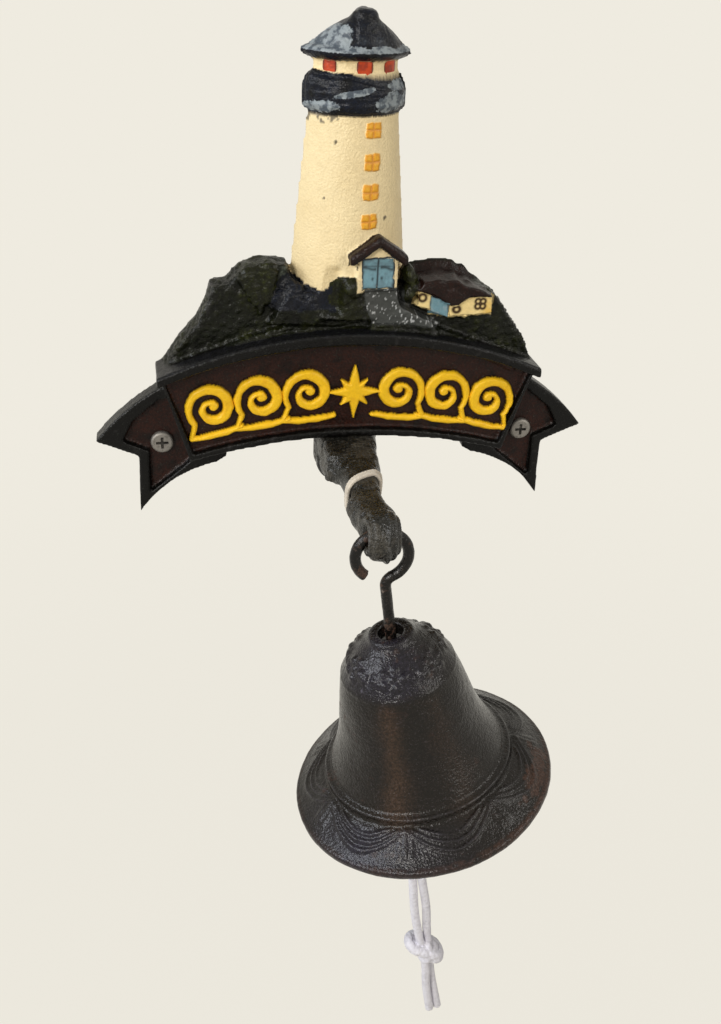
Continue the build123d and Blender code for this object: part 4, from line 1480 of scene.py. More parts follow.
            # Painted shade: black down both sides of each window.
            side = np.maximum(ridge(x - cx - 0.95 * rx, 0.5), 0.8 * ridge(x - cx + 0.98 * rx, 0.4))
            colour = blend(colour, Paint.BLACK.value, 0.92 * side)
        store_colour(obj, colour)
        return obj

    def scenery(self, relief: Relief) -> bpy.types.Object:
        """Fine painting of the porch door, the path and the cottage.

        Args:
            relief: The plaque's surface.

        Returns:
            The object.
        """
        door = [(0.9, 61.4), (1.0, 72.7), (12.6, 73.6), (13.1, 61.6)]
        panels = [(1.0, 61.4), (1.2, 72.4), (12.4, 73.2), (12.9, 61.6)]

        def masks(x: np.ndarray, z: np.ndarray) -> Dict[str, np.ndarray]:
            """Signed distances to what is painted.

            Args:
                x: Positions across.
                z: Heights.

            Returns:
                Distances by name.
            """
            flat = np.stack([x, 0 * x, z], axis=1)
            bx = x + 0.22 * NOISE.smooth(flat, 1.5)
            bz = z + 0.22 * NOISE.smooth(flat + 20, 1.5)
            return {
                "door": outline_distance(bx, bz, door),
                "panels": outline_distance(bx, bz, panels),
                "wall_left": outline_distance(bx, bz, self.wall_left),
                "wall_right": outline_distance(bx, bz, self.wall_right),
                "cottage_door": outline_distance(bx, bz, self.cottage_door),
                "path": outline_distance(bx, bz, self.path),
            }

        def place(x: np.ndarray, z: np.ndarray) -> Tuple[np.ndarray, np.ndarray]:
            """Heights of the painted work.

            Args:
                x: Positions across.
                z: Heights.

            Returns:
                Height above the surface and the surface's Y.
            """
            m = masks(x, z)
            flat = np.stack([x, 0 * x, z], axis=1)
            outer = np.minimum.reduce(
                [m["door"], m["wall_left"], m["wall_right"], m["cottage_door"], m["path"]]
            )
            height = 0.3 - 0.8 * step_up(-0.3, 0.45, outer)
            split = ridge(x - 6.8, 0.22) * (m["door"] < 0)
            frame_line = ridge(m["panels"] + 0.25, 0.3) * (z > 61)
            height += 0.12 * NOISE.fractal(flat, 2.0) - 0.3 * np.maximum(split, frame_line)
            lumps = np.where(m["path"] < 0, 0.22 * NOISE.fractal(flat + 8, 1.6), 0)
            return height + lumps, relief.depth(x, z, 0.0)

        obj, data = grid_patch("door_and_cottage_paint", (0.0, 43.0, 53.4, 74.4), 0.26, place, 0.3)
        x, _, z = data.T
        m = masks(x, z)
        flat = np.stack([x, 0 * x, z], axis=1)
        fine = NOISE.fractal(flat + 50, 1.3)
        mid = NOISE.fractal(flat + 70, 4.0)
        colour = np.tile(np.array(Paint.PATH.value), (len(data), 1))
        scratch = NOISE.fractal(flat * np.array([1.5, 1, 0.9]) + 11, 1.1)
        colour = blend(colour, Paint.BLACK.value, 0.45 * step_up(0.1, 0.6, mid))
        colour = blend(
            colour,
            Paint.FLECK.value,
            np.where(m["path"] < 0, step_up(0.34, 0.5, scratch + 0.2 * mid), 0) * 0.9,
        )
        wall = np.minimum(m["wall_left"], m["wall_right"]) < 0.15
        colour = blend(colour, Paint.WALL_YELLOW.value, wall.astype(float))
        amber = step_up(45.5, 50.5, x) * step_up(0.6, -0.4, mid + (z - 55) * 0.1)
        colour = blend(colour, Paint.WALL_AMBER.value, np.where(wall, 0.85 * amber, 0))
        ring = ridge(np.hypot(x - 24.6, z - 57.2) - 1.3, 0.55)
        lobes = np.zeros(len(x))
        for sx, sz in ((-1, -1), (-1, 1), (1, -1), (1, 1)):
            lobes = np.maximum(
                lobes, ridge(np.hypot(x - 46.6 - 0.95 * sx, z - 54.6 - 0.95 * sz) - 0.95, 0.48)
            )
        tiny = ridge(np.hypot((x - 37.7) * 0.9, z - 52.6) - 1.1, 0.6)
        art = np.where(wall, np.maximum.reduce([ring, lobes, tiny]), 0)
        colour = blend(colour, Paint.OCHRE.value, 1.3 * art)
        blue = m["cottage_door"] < 0.1
        colour = blend(colour, Paint.DOOR_BLUE.value, blue * 0.95)
        colour = blend(colour, Paint.FLECK.value, blue * step_up(0.1, 0.5, fine) * 0.35)
        edges = np.maximum(ridge(m["cottage_door"] - 0.05, 0.3), ridge(m["wall_right"] - 0.1, 0.22))
        colour = blend(colour, Paint.LINE.value, 0.75 * edges * (x > 21) * (z > 49.6))
        in_door = m["door"] < 0.1
        colour = blend(colour, Paint.DOOR_BLUE.value, in_door.astype(float))
        colour = blend(colour, Paint.SLATE.value, in_door * 0.4 * step_up(-0.1, 0.6, mid + fine))
        lines = np.maximum.reduce(
            [ridge(m["door"] + 0.2, 0.55), ridge(x - 6.8, 0.34), 0.55 * ridge(z - 69.9 - 0.3 * mid, 0.3)]
        )
        colour = blend(colour, Paint.LINE.value, in_door * lines)
        smudge = (
            ridge((z - 69.2 - 0.4 * np.sin(x * 0.9)) / 1.0, 0.55)
            * ((np.abs(x - 3.8) < 2.3) | (np.abs(x - 9.8) < 2.2))
        )
        handles = np.maximum(
            ridge(np.hypot((x - 5.0) * 1.6, z - 65.4), 0.7), ridge(np.hypot((x - 8.3) * 1.3, z - 65.7), 0.7)
        )
        colour = blend(colour, Paint.LINE.value, in_door * np.maximum(0.75 * smudge, 0.85 * handles))
        store_colour(obj, colour)
        return obj

    def build(self) -> None:
        """Models and paints the casting, then the fine work on it."""
        self.plate = Casting("wall_plate", "wall_plaque", self.fineness, self.lumps())
        self.zone, leaf = self.shape(self.plate)
        self.paint(self.plate, self.zone, leaf)
        relief = Relief(self.plate.obj)
        self.raised = [self.tower_windows(relief), self.lantern_windows(relief), self.scenery(relief)]

    def dress(
        self, painted: bpy.types.Material, cream: bpy.types.Material, bright: bpy.types.Material
    ) -> None:
        """Gives the plaque its paints.

        Args:
            painted: The dark, glossy paint.
            cream: The matt paint of the light walls.
            bright: The thick paint of the windows, door and cottage.
        """
        mesh = self.plate.obj.data
        light_zones = (Zone.TOWER.value, Zone.LANTERN.value, Zone.PORCH.value)
        mesh.materials.append(painted)
        mesh.materials.append(cream)
        for face in mesh.polygons:
            face.material_index = int(self.zone[face.vertices[0]] in light_zones)
        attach(self.plate.obj, "plate")
        LOG.info("wall_plaque rides on plate")
        for raised in self.raised:
            seat(raised, "plate", bright)


# Ornament on the banner


Stroke = List[Tuple[float, float, float]]


class Motif(Enum):
    """Plain ornaments along the banner."""

    STAR = "star"
    WAVE = "wave"


@dataclass(frozen=True)
class Ornament:
    """One raised ornament on the banner."""

    motif: Motif
    x: float
    z: float
    lean: float
    height: float
    mirrored: bool
    name: str


@dataclass
class OrnamentRow:
    """The raised yellow row on the banner."""

    rise: float = 2.4
    field_y: float = -11.8

    def wave_strokes(self) -> List[Stroke]:
        """A breaking wave: a back that rises, curls over and rolls in, above a thin swell.

        Returns:
            Strokes in a box one unit high.
        """
        crest = [(-0.03, 0.06, 0.04)]
        for part in np.linspace(0, 1, 40):
            angle = math.radians(212 - 520 * part)
            reach = 0.06 + 0.38 * (1 - part) ** 0.85
            swell = (
                0.042 + 0.05 * math.sin(math.pi * min(part * 1.25, 1.0)) + 0.045 * max(part - 0.9, 0.0) * 10
            )
            crest.append((0.46 + reach * math.cos(angle), 0.52 + reach * math.sin(angle), swell))
        foot = [(-0.05, 0.03, 0.042), (0.25, 0.0, 0.058), (0.6, 0.0, 0.058), (0.9, 0.04, 0.042)]
        return [crest, foot]

    def star_strokes(self) -> List[Stroke]:
        """An eight-pointed star, with every second point short.

        Returns:
            Strokes in a box one unit high.
        """
        strokes = []
        for k in range(8):
            reach = 0.5 if k % 2 == 0 else 0.33
            angle = k * math.pi / 4
            tip = (0.44 + reach * math.cos(angle), 0.5 + reach * math.sin(angle), 0.012)
            strokes.append([(0.44, 0.5, 0.13), tip])
        return strokes

    def ornaments(self) -> List[Ornament]:
        """A star in the middle of the banner and three waves on either side, leaning as the banner's arc does.

        Returns:
            The ornaments from left to right.
        """
        row = []
        for k in range(-3, 4):
            x = 1.0 + 17.8 * k
            z = arch_height(np.array([x - 1.0]), 60.0, 14.2, 21.0)[0]
            motif = Motif.WAVE if k else Motif.STAR
            row.append(Ornament(motif, x, z, -4.6 * k, 20.6, k > 0, f"ornament_{k + 4}"))
        return row

    def raised_ornament(self, ornament: Ornament) -> bpy.types.Object:
        """Models one ornament with soft, uneven edges.

        Args:
            ornament: Which motif, where and how large.

        Returns:
            The object.
        """
        lean = math.radians(ornament.lean)
        reach = ornament.height * 0.66
        strokes = self.wave_strokes() if ornament.motif is Motif.WAVE else self.star_strokes()
        side = -1.0 if ornament.mirrored else 1.0

        def inner(x: np.ndarray, z: np.ndarray) -> np.ndarray:
            """Distance to the ornament's strokes.

            Args:
                x: Positions across.
                z: Heights.

            Returns:
                Signed distances in millimetres.
            """
            flat = np.stack([x, 0 * x, z], axis=1)
            dx = x - ornament.x + 0.28 * NOISE.smooth(flat, 2.4)
            dz = z - ornament.z + 0.28 * NOISE.smooth(flat + 30, 2.4)
            u = side * (dx * math.cos(lean) + dz * math.sin(lean)) / ornament.height + 0.44
            v = (-dx * math.sin(lean) + dz * math.cos(lean)) / ornament.height + 0.5
            nearest = np.full(x.shape, 1e9)
            for line in strokes:
                nearest = np.minimum(nearest, stroke_distance(u, v, line))
            return nearest * ornament.height

        def place(x: np.ndarray, z: np.ndarray) -> Tuple[np.ndarray, np.ndarray]:
            """Height of the ornament.

            Args:
                x: Positions across.
                z: Heights.

            Returns:
                Height above the banner and the banner's Y.
            """
            away = inner(x, z)
            flat = np.stack([x, 0 * x, z], axis=1)
            body = np.sqrt(np.clip(1 - (1 - np.clip(0.25 - away, 0, 1.25) / 1.25) ** 2, 0, 1))
            skirt = 0.8 * step_up(0.9, 0.1, away) - 0.6
            height = np.where(away < 0.25, 0.2 + (self.rise - 0.2) * body, skirt)
            return height + 0.14 * NOISE.fractal(flat, 2.6) * (away < 0.2), np.full(x.shape, self.field_y)

        box = (ornament.x - reach, ornament.z - reach, ornament.x + reach, ornament.z + reach)
        obj, data = grid_patch(ornament.name, box, 0.24, place, 0.35)
        rise = data[:, 1]
        flat = np.stack([data[:, 0], 0 * data[:, 0], data[:, 2]], axis=1)
        painted = step_up(0.75, 1.35, rise + 0.45 * NOISE.fractal(flat, 1.7))
        colour = blend(
            np.tile(np.array(Paint.MAROON.value) * 0.45, (len(data), 1)), Paint.GOLD.value, painted
        )
        thin = step_up(0.2, 0.8, NOISE.fractal(flat + 9, 3.0)) * 0.25
        colour = blend(colour, Paint.AMBER_LINE.value, thin * painted)
        store_colour(obj, colour)
        return obj

    def build(self) -> None:
        """Models the whole row."""
        self.pieces = [self.raised_ornament(ornament) for ornament in self.ornaments()]

    def dress(self, bright: bpy.types.Material) -> None:
        """Gives the row its paint.

        Args:
            bright: The thick yellow paint.
        """
        for piece in self.pieces:
            seat(piece, "plate", bright)


# Hanging parts


@dataclass(frozen=True)
class Hang:
    """Where the hanging parts are at rest."""

    crown: Tuple[float, float, float] = (5.370177, -76.5, -43.741329)
    lean: float = math.radians(8.6)
    tilt: float = math.radians(13.6)

    def along_cord(self, points: np.ndarray) -> np.ndarray:
        """Turns points measured from the crown along the hanging line into the shared frame.

        Args:
            points: Points in millimetres.

        Returns:
            Points in the shared frame.
        """
        return self._turn(points, self.lean)

    def along_bell(self, points: np.ndarray) -> np.ndarray:
        """Turns points measured from the crown along the bell's axis into the shared frame.

        Args:
            points: Points in millimetres.

        Returns:
            Points in the shared frame.
        """
        return self._turn(points, self.tilt)

    def _turn(self, points: np.ndarray, angle: float) -> np.ndarray:
        """Leans points to the right about the crown.

        Args:
            points: Points in millimetres.
            angle: The lean in radians.

        Returns:
            Points in the shared frame.
        """
        x, y, z = points.T
        turned = np.stack(
            [x * math.cos(angle) - z * math.sin(angle), y, x * math.sin(angle) + z * math.cos(angle)], axis=1
        )
        return turned + np.array(self.crown)


HANG = Hang()


@dataclass
class FlaredBell:
    """The bell, turned from its profile, with flowers on the crown and garlands on the brim."""

    outside: Outline = (
        (4.6, 4.9), (4.6, 0.7), (5.2, 0.05), (7.2, 0.0), (8.3, 0.6), (9.4, 2.6), (14.0, 6.2), (18.2, 10.4),
        (20.9, 15.0), (22.8, 22.0), (24.9, 32.0), (27.2, 42.0), (30.4, 50.4), (34.3, 58.4), (39.2, 62.4),
        (44.6, 66.4), (48.6, 69.2), (49.5, 70.4), (49.2, 71.7), (48.0, 72.2),
    )
    inside: Outline = (
        (48.0, 72.2), (45.6, 72.1), (44.4, 71.0), (36.8, 65.6), (31.0, 60.4), (26.8, 52.4), (23.3, 43.0),
        (21.0, 32.8), (18.9, 22.8), (17.2, 16.4), (14.4, 12.0), (10.6, 8.6), (7.4, 6.2), (4.6, 5.0),
    )
    around: int = 420

    def relief(self, turn: np.ndarray, r: np.ndarray, h: np.ndarray) -> np.ndarray:
        """Ornament cast on the bell's outside.

        Args:
            turn: Angle round the bell in radians.
            r: Radius in millimetres.
            h: Depth below the crown in millimetres.

        Returns:
            Heights in millimetres.
        """
        place = np.stack([r * np.cos(turn), r * np.sin(turn), -h], axis=1)
        petals = 6
        part = ((turn / (2 * math.pi) + 0.04) * petals) % 1.0 - 0.5
        ring = 2 * math.pi * np.maximum(r, 8) / petals
        across = part * ring
        down = (h - 8.6) * 1.5
        rosette = np.hypot(across * 0.9, down)
        swirl = np.arctan2(down, across)
        flower = ridge(rosette - 3.3, 1.5) * (0.62 + 0.38 * np.cos(5 * swirl)) + 0.9 * ridge(rosette, 1.3)
        beside = (0.5 - np.abs(part)) * ring
        leaf = ridge(np.hypot((beside - 2.6) * 0.6 + 0.35 * down, 0.8 * down - 0.3 * beside), 1.9)
        leaf -= 0.35 * ridge(down - 0.8 * (beside - 2.6), 0.5) * leaf
        edge_low = step_up(3.0, 5.4, h) * step_up(14.3, 12.6, h)
        height = (
            edge_low
            * (
                1.0 * flower + 1.0 * leaf * step_up(0.0, 1.4, beside) + 0.16 * NOISE.fractal(place + 60, 3.0)
                - 0.1
            )
        )
        height += 0.25 * ridge(h - 15.4, 0.42)
        height += 1.25 * ridge(h - 58.7, 0.95) - 0.35 * ridge(h - 60.6, 0.7) - 0.25 * ridge(h - 56.6, 0.8)
        swags = 7
        u = (((turn / (2 * math.pi) + 0.02) * swags) % 1.0 - 0.5) * 2
        v = np.clip((r - 36.0) / 11.5, -0.4, 1.3)
        brim = step_up(-0.02, 0.08, v) * step_up(1.08, 0.96, v)
        hang_line = 0.1 + 0.68 * (1 - np.abs(u) ** 1.5)
        offset = (v - hang_line) + 0.03 * NOISE.smooth(place, 5.0)
        spread = 0.13 + 0.09 * (1 - np.abs(u))
        folds = 0.5 + 0.5 * np.cos(offset * 2 * math.pi / spread)
        swag = folds * step_up(-0.5, -0.36, offset) * step_up(0.16, 0.04, offset) * step_up(0.0, 0.12, v)
        gather = 0.5 + 0.5 * np.cos((np.abs(u) - 1) * 42)
        tassel = step_up(0.80, 0.9, np.abs(u)) * step_up(0.9, 0.7, v) * (0.45 + 0.55 * gather)
        knot = ridge(np.hypot((np.abs(u) - 1) * 5.0, (v - 0.1) * 4.0), 0.5)
        height += brim * (0.8 * np.maximum(swag, 0.8 * tassel) + 0.4 * knot)
        height += 0.35 * ridge(v - 1.13, 0.05)
        cast = 0.24 * NOISE.fractal(place, 9.0) + 0.09 * NOISE.fractal(place, 1.8)
        return height + cast

    def ring_mesh(self, profile: np.ndarray, around: int, relief: Optional[Callable]) -> Tuple[
        np.ndarray, np.ndarray
    ]:
        """Turns a profile about the bell's axis.

        Args:
            profile: Radius and depth of each ring.
            around: Vertices in a ring.
            relief: Height of the ornament, or None.

        Returns:
            Vertices measured from the crown, and faces.
        """
        slope = np.gradient(profile, axis=0)
        slope /= np.maximum(np.linalg.norm(slope, axis=1, keepdims=True), 1e-9)
        out = np.stack([slope[:, 1], -slope[:, 0]], axis=1)
        turn = np.linspace(0, 2 * math.pi, around, endpoint=False)
        ring_r = np.repeat(profile[:, 0], around)
        ring_h = np.repeat(profile[:, 1], around)
        ring_t = np.tile(turn, len(profile))
        lift = relief(ring_t, ring_r, ring_h) if relief else np.zeros(len(ring_r))
        r = ring_r + np.repeat(out[:, 0], around) * lift
        h = ring_h + np.repeat(out[:, 1], around) * lift
        points = np.stack([r * np.cos(ring_t), r * np.sin(ring_t), -h], axis=1)
        index = np.arange(len(ring_r)).reshape(len(profile), around)
        after = np.roll(index, -1, axis=1)
        faces = np.stack([index[:-1], after[:-1], after[1:], index[1:]], axis=-1).reshape(-1, 4)
        return points, faces

    def colours(self, points: np.ndarray) -> np.ndarray:
        """Colours of the enamel: a painted brown reflection down one side, painted bluish reflections on the
        crown and brim, and bare metal at one lip.

        Args:
            points: Points measured from the crown along the bell's axis.

        Returns:
            Linear colours, one row for each point.
        """
        x, y, z = points.T
        turn = np.degrees(np.arctan2(x, -y))
        r = np.hypot(x, y)
        mid = NOISE.fractal(points + 15, 9.0)
        fine = NOISE.fractal(points + 35, 2.4)
        colour = np.tile(np.array(Paint.BELL_BLACK.value), (len(points), 1))
        body = step_up(-14.0, -20.0, z) * step_up(-66.0, -56.0, z)
        # Painted reflection: a warm brown streak down one side of the body.
        streak = ridge(turn + 24 + 8 * mid, 9.0) + 0.35 * ridge(turn - 20 + 12 * mid, 10.0)
        colour = blend(colour, Paint.BELL_REFLECTION_BROWN.value, 0.9 * body * streak)
        # Painted reflections: bluish on one side of the crown and of the brim.
        crown = step_up(-17.0, -12.0, z) * ridge(turn + 30, 70.0)
        brim = step_up(36.0, 40.0, r) * ridge(turn + 38, 34.0)
        colour = blend(colour, Paint.BELL_REFLECTION_BLUE.value, np.maximum(crown, brim) * (0.6 + 0.4 * mid))
        lip = step_up(47.4, 48.6, r) * step_up(-67.5, -69.0, z)
        colour = blend(
            colour,
            Paint.BELL_BARE.value,
            lip * (0.25 + 0.6 * ridge(turn - 55, 50.0)) * step_up(-0.5, 0.1, fine),
        )
        patch = np.hypot((turn - 66) / 17, (r - 45.5) / 3.2) + 1.1 * fine + 0.3 * mid
        colour = blend(colour, Paint.BELL_BARE.value, step_up(1.1, 0.8, patch) * step_up(-55.0, -60.0, z))
        return colour

    def build(self) -> None:
        """Models the bell with its ornament."""
        outside = smooth_path(self.outside, 0.55)
        inside = smooth_path(self.inside, 1.5)
        outer, outer_faces = self.ring_mesh(
            outside, self.around, lambda t, r, h: self.relief(t, r, h) * step_up(0.2, 2.0, h) * (r > 5)
        )
        inner, inner_faces = self.ring_mesh(inside, self.around, None)
        grain = 0.15 * NOISE.fractal(inner, 6.0)
        level = np.linalg.norm(inner[:, :2], axis=1)
        inner[:, :2] *= (1 + np.where((level > 6) & (level < 44), grain / np.maximum(level, 1), 0))[:, None]
        points = np.concatenate([outer, inner])
        faces = np.concatenate([outer_faces, inner_faces + len(outer)])
        obj = new_object("bell_cast", HANG.along_bell(points), faces[:, ::-1])
        store_colour(obj, self.colours(points))
        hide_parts("bell")
        self.piece = obj

    def dress(self, finish: bpy.types.Material) -> None:
        """Gives the bell its enamel.

        Args:
            finish: The enamel.
        """
        seat(self.piece, "bell", finish)


@dataclass
class PullCord:
    """The doubled, braided cord with its knot."""

    diameter: float = 3.4
    left_leg: Sequence[Sequence[float]] = (
        (-0.05, 0, -76.0), (-1.9, 0.0, -76.7), (-3.1, 0.05, -79.0), (-3.3, 0.1, -84.0), (-2.9, 0.1, -93.0),
        (-2.0, -0.1, -111.0), (-2.1, 0.2, -129.0), (-2.8, -0.1, -147.0), (-2.3, -0.6, -163.0),
        (-1.0, -1.6, -179.0), (-1.7, -1.6, -195.0), (-1.4, -1.2, -211.5),
    )
    right_leg: Sequence[Sequence[float]] = (
        (0.05, 0, -76.0), (1.9, 0.0, -76.7), (3.1, -0.05, -79.0), (3.3, -0.1, -84.0), (2.8, -0.1, -92.0),
        (1.8, 0.1, -110.0), (1.7, -0.1, -128.0), (2.3, 0.2, -146.0), (1.6, 0.8, -162.0), (1.4, 1.6, -178.0),
        (1.4, 1.0, -194.0), (2.4, 0.0, -212.5),
    )

    def braid(self, angle: np.ndarray, run: np.ndarray) -> np.ndarray:
        """Radius of a round braid of eight yarns.

        Args:
            angle: Angle round the cord.
            run: Length along the cord in millimetres.

        Returns:
            Radii in millimetres.
        """
        pitch = 2 * math.pi / 9.5
        one = np.abs(np.sin(2 * (angle + run * pitch)))
        other = np.abs(np.sin(2 * (angle - run * pitch)))
        return self.diameter / 2 * (0.95 + 0.13 * np.maximum(one, other) ** 1.4)

    def strand(self, name: str, leg: Sequence[Sequence[float]]) -> Tuple[bpy.types.Object, np.ndarray]:
        """Models one strand of the doubled cord.

        Args:
            name: The object's name.
            leg: Points of its centreline, from the eye to the tail's end.

        Returns:
            The object and its centreline.
        """
        path = HANG.along_cord(smooth_path(leg, 0.24))
        points, faces = sweep_tube(path, self.braid, 30)
        return new_object(name, points, faces), path

    def knot_turns(self) -> bpy.types.Object:
        """Models the overhand knot: the doubled cord's turns round itself.

        Returns:
            The object.
        """
        t = np.linspace(0, 2 * math.pi, 240, endpoint=False)
        all_points: List[np.ndarray] = []
        all_faces: List[List[int]] = []
        loops = [
            (4.1, 4.0, 1.4, 34.0, (-2.9, 0.1, 2.9), 0.6),
            (4.9, 4.4, 1.6, 38.0, (-0.4, 0.0, 0.9), 1.5),
            (4.9, 4.4, 1.8, 42.0, (1.9, -0.2, -1.2), 2.4),
            (4.1, 4.2, 1.6, 50.0, (3.4, -0.2, -2.9), 0.2),
            (3.4, 4.0, 2.0, -58.0, (-0.2, -0.6, -1.6), 0.9),
            (2.6, 3.6, 1.2, 20.0, (-0.9, -0.4, 1.4), 0.4),
            (2.8, 3.6, 1.2, 60.0, (1.6, -0.2, -3.6), 1.8),
        ]
        for rx, ry, rise, lean, shift, phase in loops:
            ring = np.stack([rx * np.cos(t), ry * np.sin(t), 0.45 * rise * np.sin(t + phase)], axis=1)
            a = math.radians(lean)
            x, y, z = ring.T
            ring = np.stack(
                [x * math.cos(a) + z * math.sin(a), y, -x * math.sin(a) + z * math.cos(a)], axis=1
            )
            ring += np.array(shift) + np.array([-0.4, 0, -171.0])
            points, faces = sweep_tube(
                HANG.along_cord(ring), lambda an, run: self.braid(an, run) * 1.12, 28, closed=True
            )
            all_faces.extend([[k + sum(len(q) for q in all_points) for k in f] for f in faces])
            all_points.append(points)
        obj = new_object("cord_knot_turns", np.concatenate(all_points), all_faces)
        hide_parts("cord_knot")
        return obj

    def build(self) -> None:
        """Models both strands and the knot."""
        self.left, self.left_path = self.strand("cord_strand_left", self.left_leg)
        self.right, self.right_path = self.strand("cord_strand_right", self.right_leg)
        self.knot = self.knot_turns()

    def dress(self, white: bpy.types.Material) -> None:
        """Gives the cord its cotton.

        Args:
            white: The cotton.
        """
        for piece in (self.left, self.right, self.knot):
            seat(piece, "cord", white)
        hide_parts("pull_cord")
        for strand, path, extra in (
            (self.left, self.left_path, [self.knot]), (self.right, self.right_path, [])
        ):
            (path[0] * MM).tolist()
            (path[::6] * MM).tolist()


# Arm, hook and clapper


@dataclass
class HangerArm:
    """The arm, the string wound round its neck, and the screws."""

    fineness: float = 0.62
    string_radius: float = 0.82

    def shape(self) -> bpy.types.Object:
        """Models the hanger arm's uneven, hand-finished casting.

        Returns:
            The object.
        """
        lumps = [
            ball(-0.4, -38.0, -3.6, 7.4, 6.0, 7.2),
            ball(3.4, -34.0, -4.0, 5.2, 7.0, 6.4),
            ball(-1.2, -31.5, -3.4, 9.0, 8.0, 7.0),
            ball(-4.4, -62.0, -5.6, 3.6, 4.6, 4.6),
        ]
        arm = Casting("hanger_arm", "hanger_arm_cast", self.fineness, lumps)
        p = arm.points.copy()
        drawn = step_up(-12.0, -33.0, p[:, 1]) * step_up(-48.0, -35.0, p[:, 1])
        p[:, 2] += 2.6 * drawn * step_up(-8.0, -13.0, p[:, 2])
        p[:, 1] += 3.6 * drawn
        neck = step_up(-38.0, -48.0, p[:, 1]) * step_up(-70.0, -62.0, p[:, 1])
        p[:, 0] -= 2.0 * neck * step_up(0.0, 6.5, p[:, 0])
        arm.move(p)
        arm.soften(9)
        p = arm.points
        x, y, z = p.T
        first, second, mark = NOISE.cells(p, 8.5)
        facets = 0.55 * (mark - 0.5) - 0.3 * ridge(second - first, 0.12)
        rough = 0.65 * NOISE.fractal(p, 8.0) + 0.26 * NOISE.fractal(p, 2.4) + 1.5 * facets
        from_lug = np.hypot(y + 76.5, z + 4.2)
        calm = step_up(5.2, 8.0, from_lug) * step_up(-1.0, -4.0, y)
        in_plate = (y > -16.5) & (z > -2.0)
        calm = np.where(in_plate, 0.0, calm)
        calm *= 0.25 + 0.75 * step_up(-62.0, -50.0, y)
        calm *= np.where((y < -41.5) & (y > -49.5), 0.12, 1.0)
        round_off = (
            -1.3 * step_up(3.0, 6.2, np.abs(x)) * step_up(-69.0, -72.0, y) * step_up(6.2, 8.0, from_lug)
        )
        seam = (
            0.9 * ridge(x - 0.9 - 0.3 * np.sin(z * 0.5), 0.6) * step_up(-70.0, -74.0, y)
            * step_up(7.4, 8.2, from_lug)
        )
        arm.push(
            rough * calm + seam + round_off
            + 0.12 * NOISE.fractal(p, 3.0) * step_up(4.6, 6.0, from_lug) * (y < -60)
        )
        return arm.obj

    def wind_band(self, arm: bpy.types.Object) -> bpy.types.Object:
        """Models the elastic string wound twice, aslant, round the arm's neck.

        Args:
            arm: The arm that it lies on.

        Returns:
            The object.
        """
        tree = BVHTree.FromPolygons(
            [v.co for v in arm.data.vertices], [f.vertices for f in arm.data.polygons]
        )
        turn = np.linspace(0, 2 * math.pi, 180, endpoint=False)
        all_points: List[np.ndarray] = []
        all_faces: List[List[int]] = []
        for shift, phase, slant in ((-0.85, 0.0, 0.5), (0.85, 2.1, 0.6)):
            reach = np.full(len(turn), 7.5)
            for i, a in enumerate(turn):
                way = Vector((math.cos(a), slant * math.cos(a), math.sin(a)))
                start = Vector((-0.6, -45.5 + shift, -4.2)) + way * 24
                hit = tree.ray_cast(start * MM, -way)[0]
                if hit is not None:
                    reach[i] = 24 - (hit / MM - start).length / way.length
            wide = np.array([np.roll(reach, k) for k in range(-9, 10)])
            taut = np.maximum(reach, wide.mean(axis=0)) + 0.6
            x = -0.6 + taut * np.cos(turn)
            y = -45.5 + shift + slant * taut * np.cos(turn) + 0.16 * np.sin(2 * turn + phase)
            loop = np.stack([x, y, -4.2 + taut * np.sin(turn)], axis=1)
            points, faces = sweep_tube(
                loop,
                lambda an, run: self.string_radius * (0.9 + 0.14 * np.abs(np.sin(an + run * 2.6))),
                16,
                closed=True,
            )
            all_faces.extend([[k + sum(len(q) for q in all_points) for k in f] for f in faces])
            all_points.append(points)
        obj = new_object("arm_band_strands", np.concatenate(all_points), all_faces)
        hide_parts("arm_band")
        return obj

    def build(self) -> None:
        """Models the arm and the string round it."""
        self.arm = self.shape()
        self.band = self.wind_band(self.arm)

    def dress(
        self, enamel: bpy.types.Material, cream: bpy.types.Material, plated: bpy.types.Material
    ) -> None:
        """Gives the arm, the string and the screws their materials.

        Args:
            enamel: The arm's enamel.
            cream: The string's cotton.
            plated: The screws' steel.
        """
        seat(self.arm, "plate", enamel)
        seat(self.band, "plate", cream)
        for node in ("arm_screw", "wall_screw_left", "wall_screw_right"):
            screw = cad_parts[node]
            screw.data.materials.clear()
            screw.data.materials.append(plated)
            LOG.info("%s keeps its shape", node)


@dataclass
class BellHook:
    """The bent hook: open ring, shank and closed eye."""

    fineness: float = 0.42

    def shape(self) -> bpy.types.Object:
        """Models the hook's forged wire.

        Returns:
            The object.
        """
        hook = Casting("bell_hook", "bell_hook_cast", self.fineness)
        p = hook.points
        hook.push(0.1 * NOISE.fractal(p, 3.2) + 0.04 * NOISE.smooth(p, 0.9))
        return hook.obj

    def build(self) -> None:
        """Models the hook."""
        self.piece = self.shape()

    def dress(self, finish: bpy.types.Material) -> None:
        """Gives the hook its enamel.

        Args:
            finish: The enamel.
        """
        seat(self.piece, "hook", finish)


@dataclass
class Clapper:
    """The clapper that hangs in the hook's eye."""

    fineness: float = 0.5

    def shape(self) -> bpy.types.Object:
        """Models the clapper's rough casting.

        Returns:
            The object.
        """
        clapper = Casting("clapper", "clapper_cast", self.fineness)
        p = clapper.points
        clapper.push(0.14 * NOISE.fractal(p, 3.0))
        return clapper.obj

    def build(self) -> None:
        """Models the clapper."""
        self.piece = self.shape()

    def dress(self, finish: bpy.types.Material) -> None:
        """Gives the clapper its enamel.

        Args:
            finish: The enamel.
        """
        seat(self.piece, "clapper", finish)


# Picture


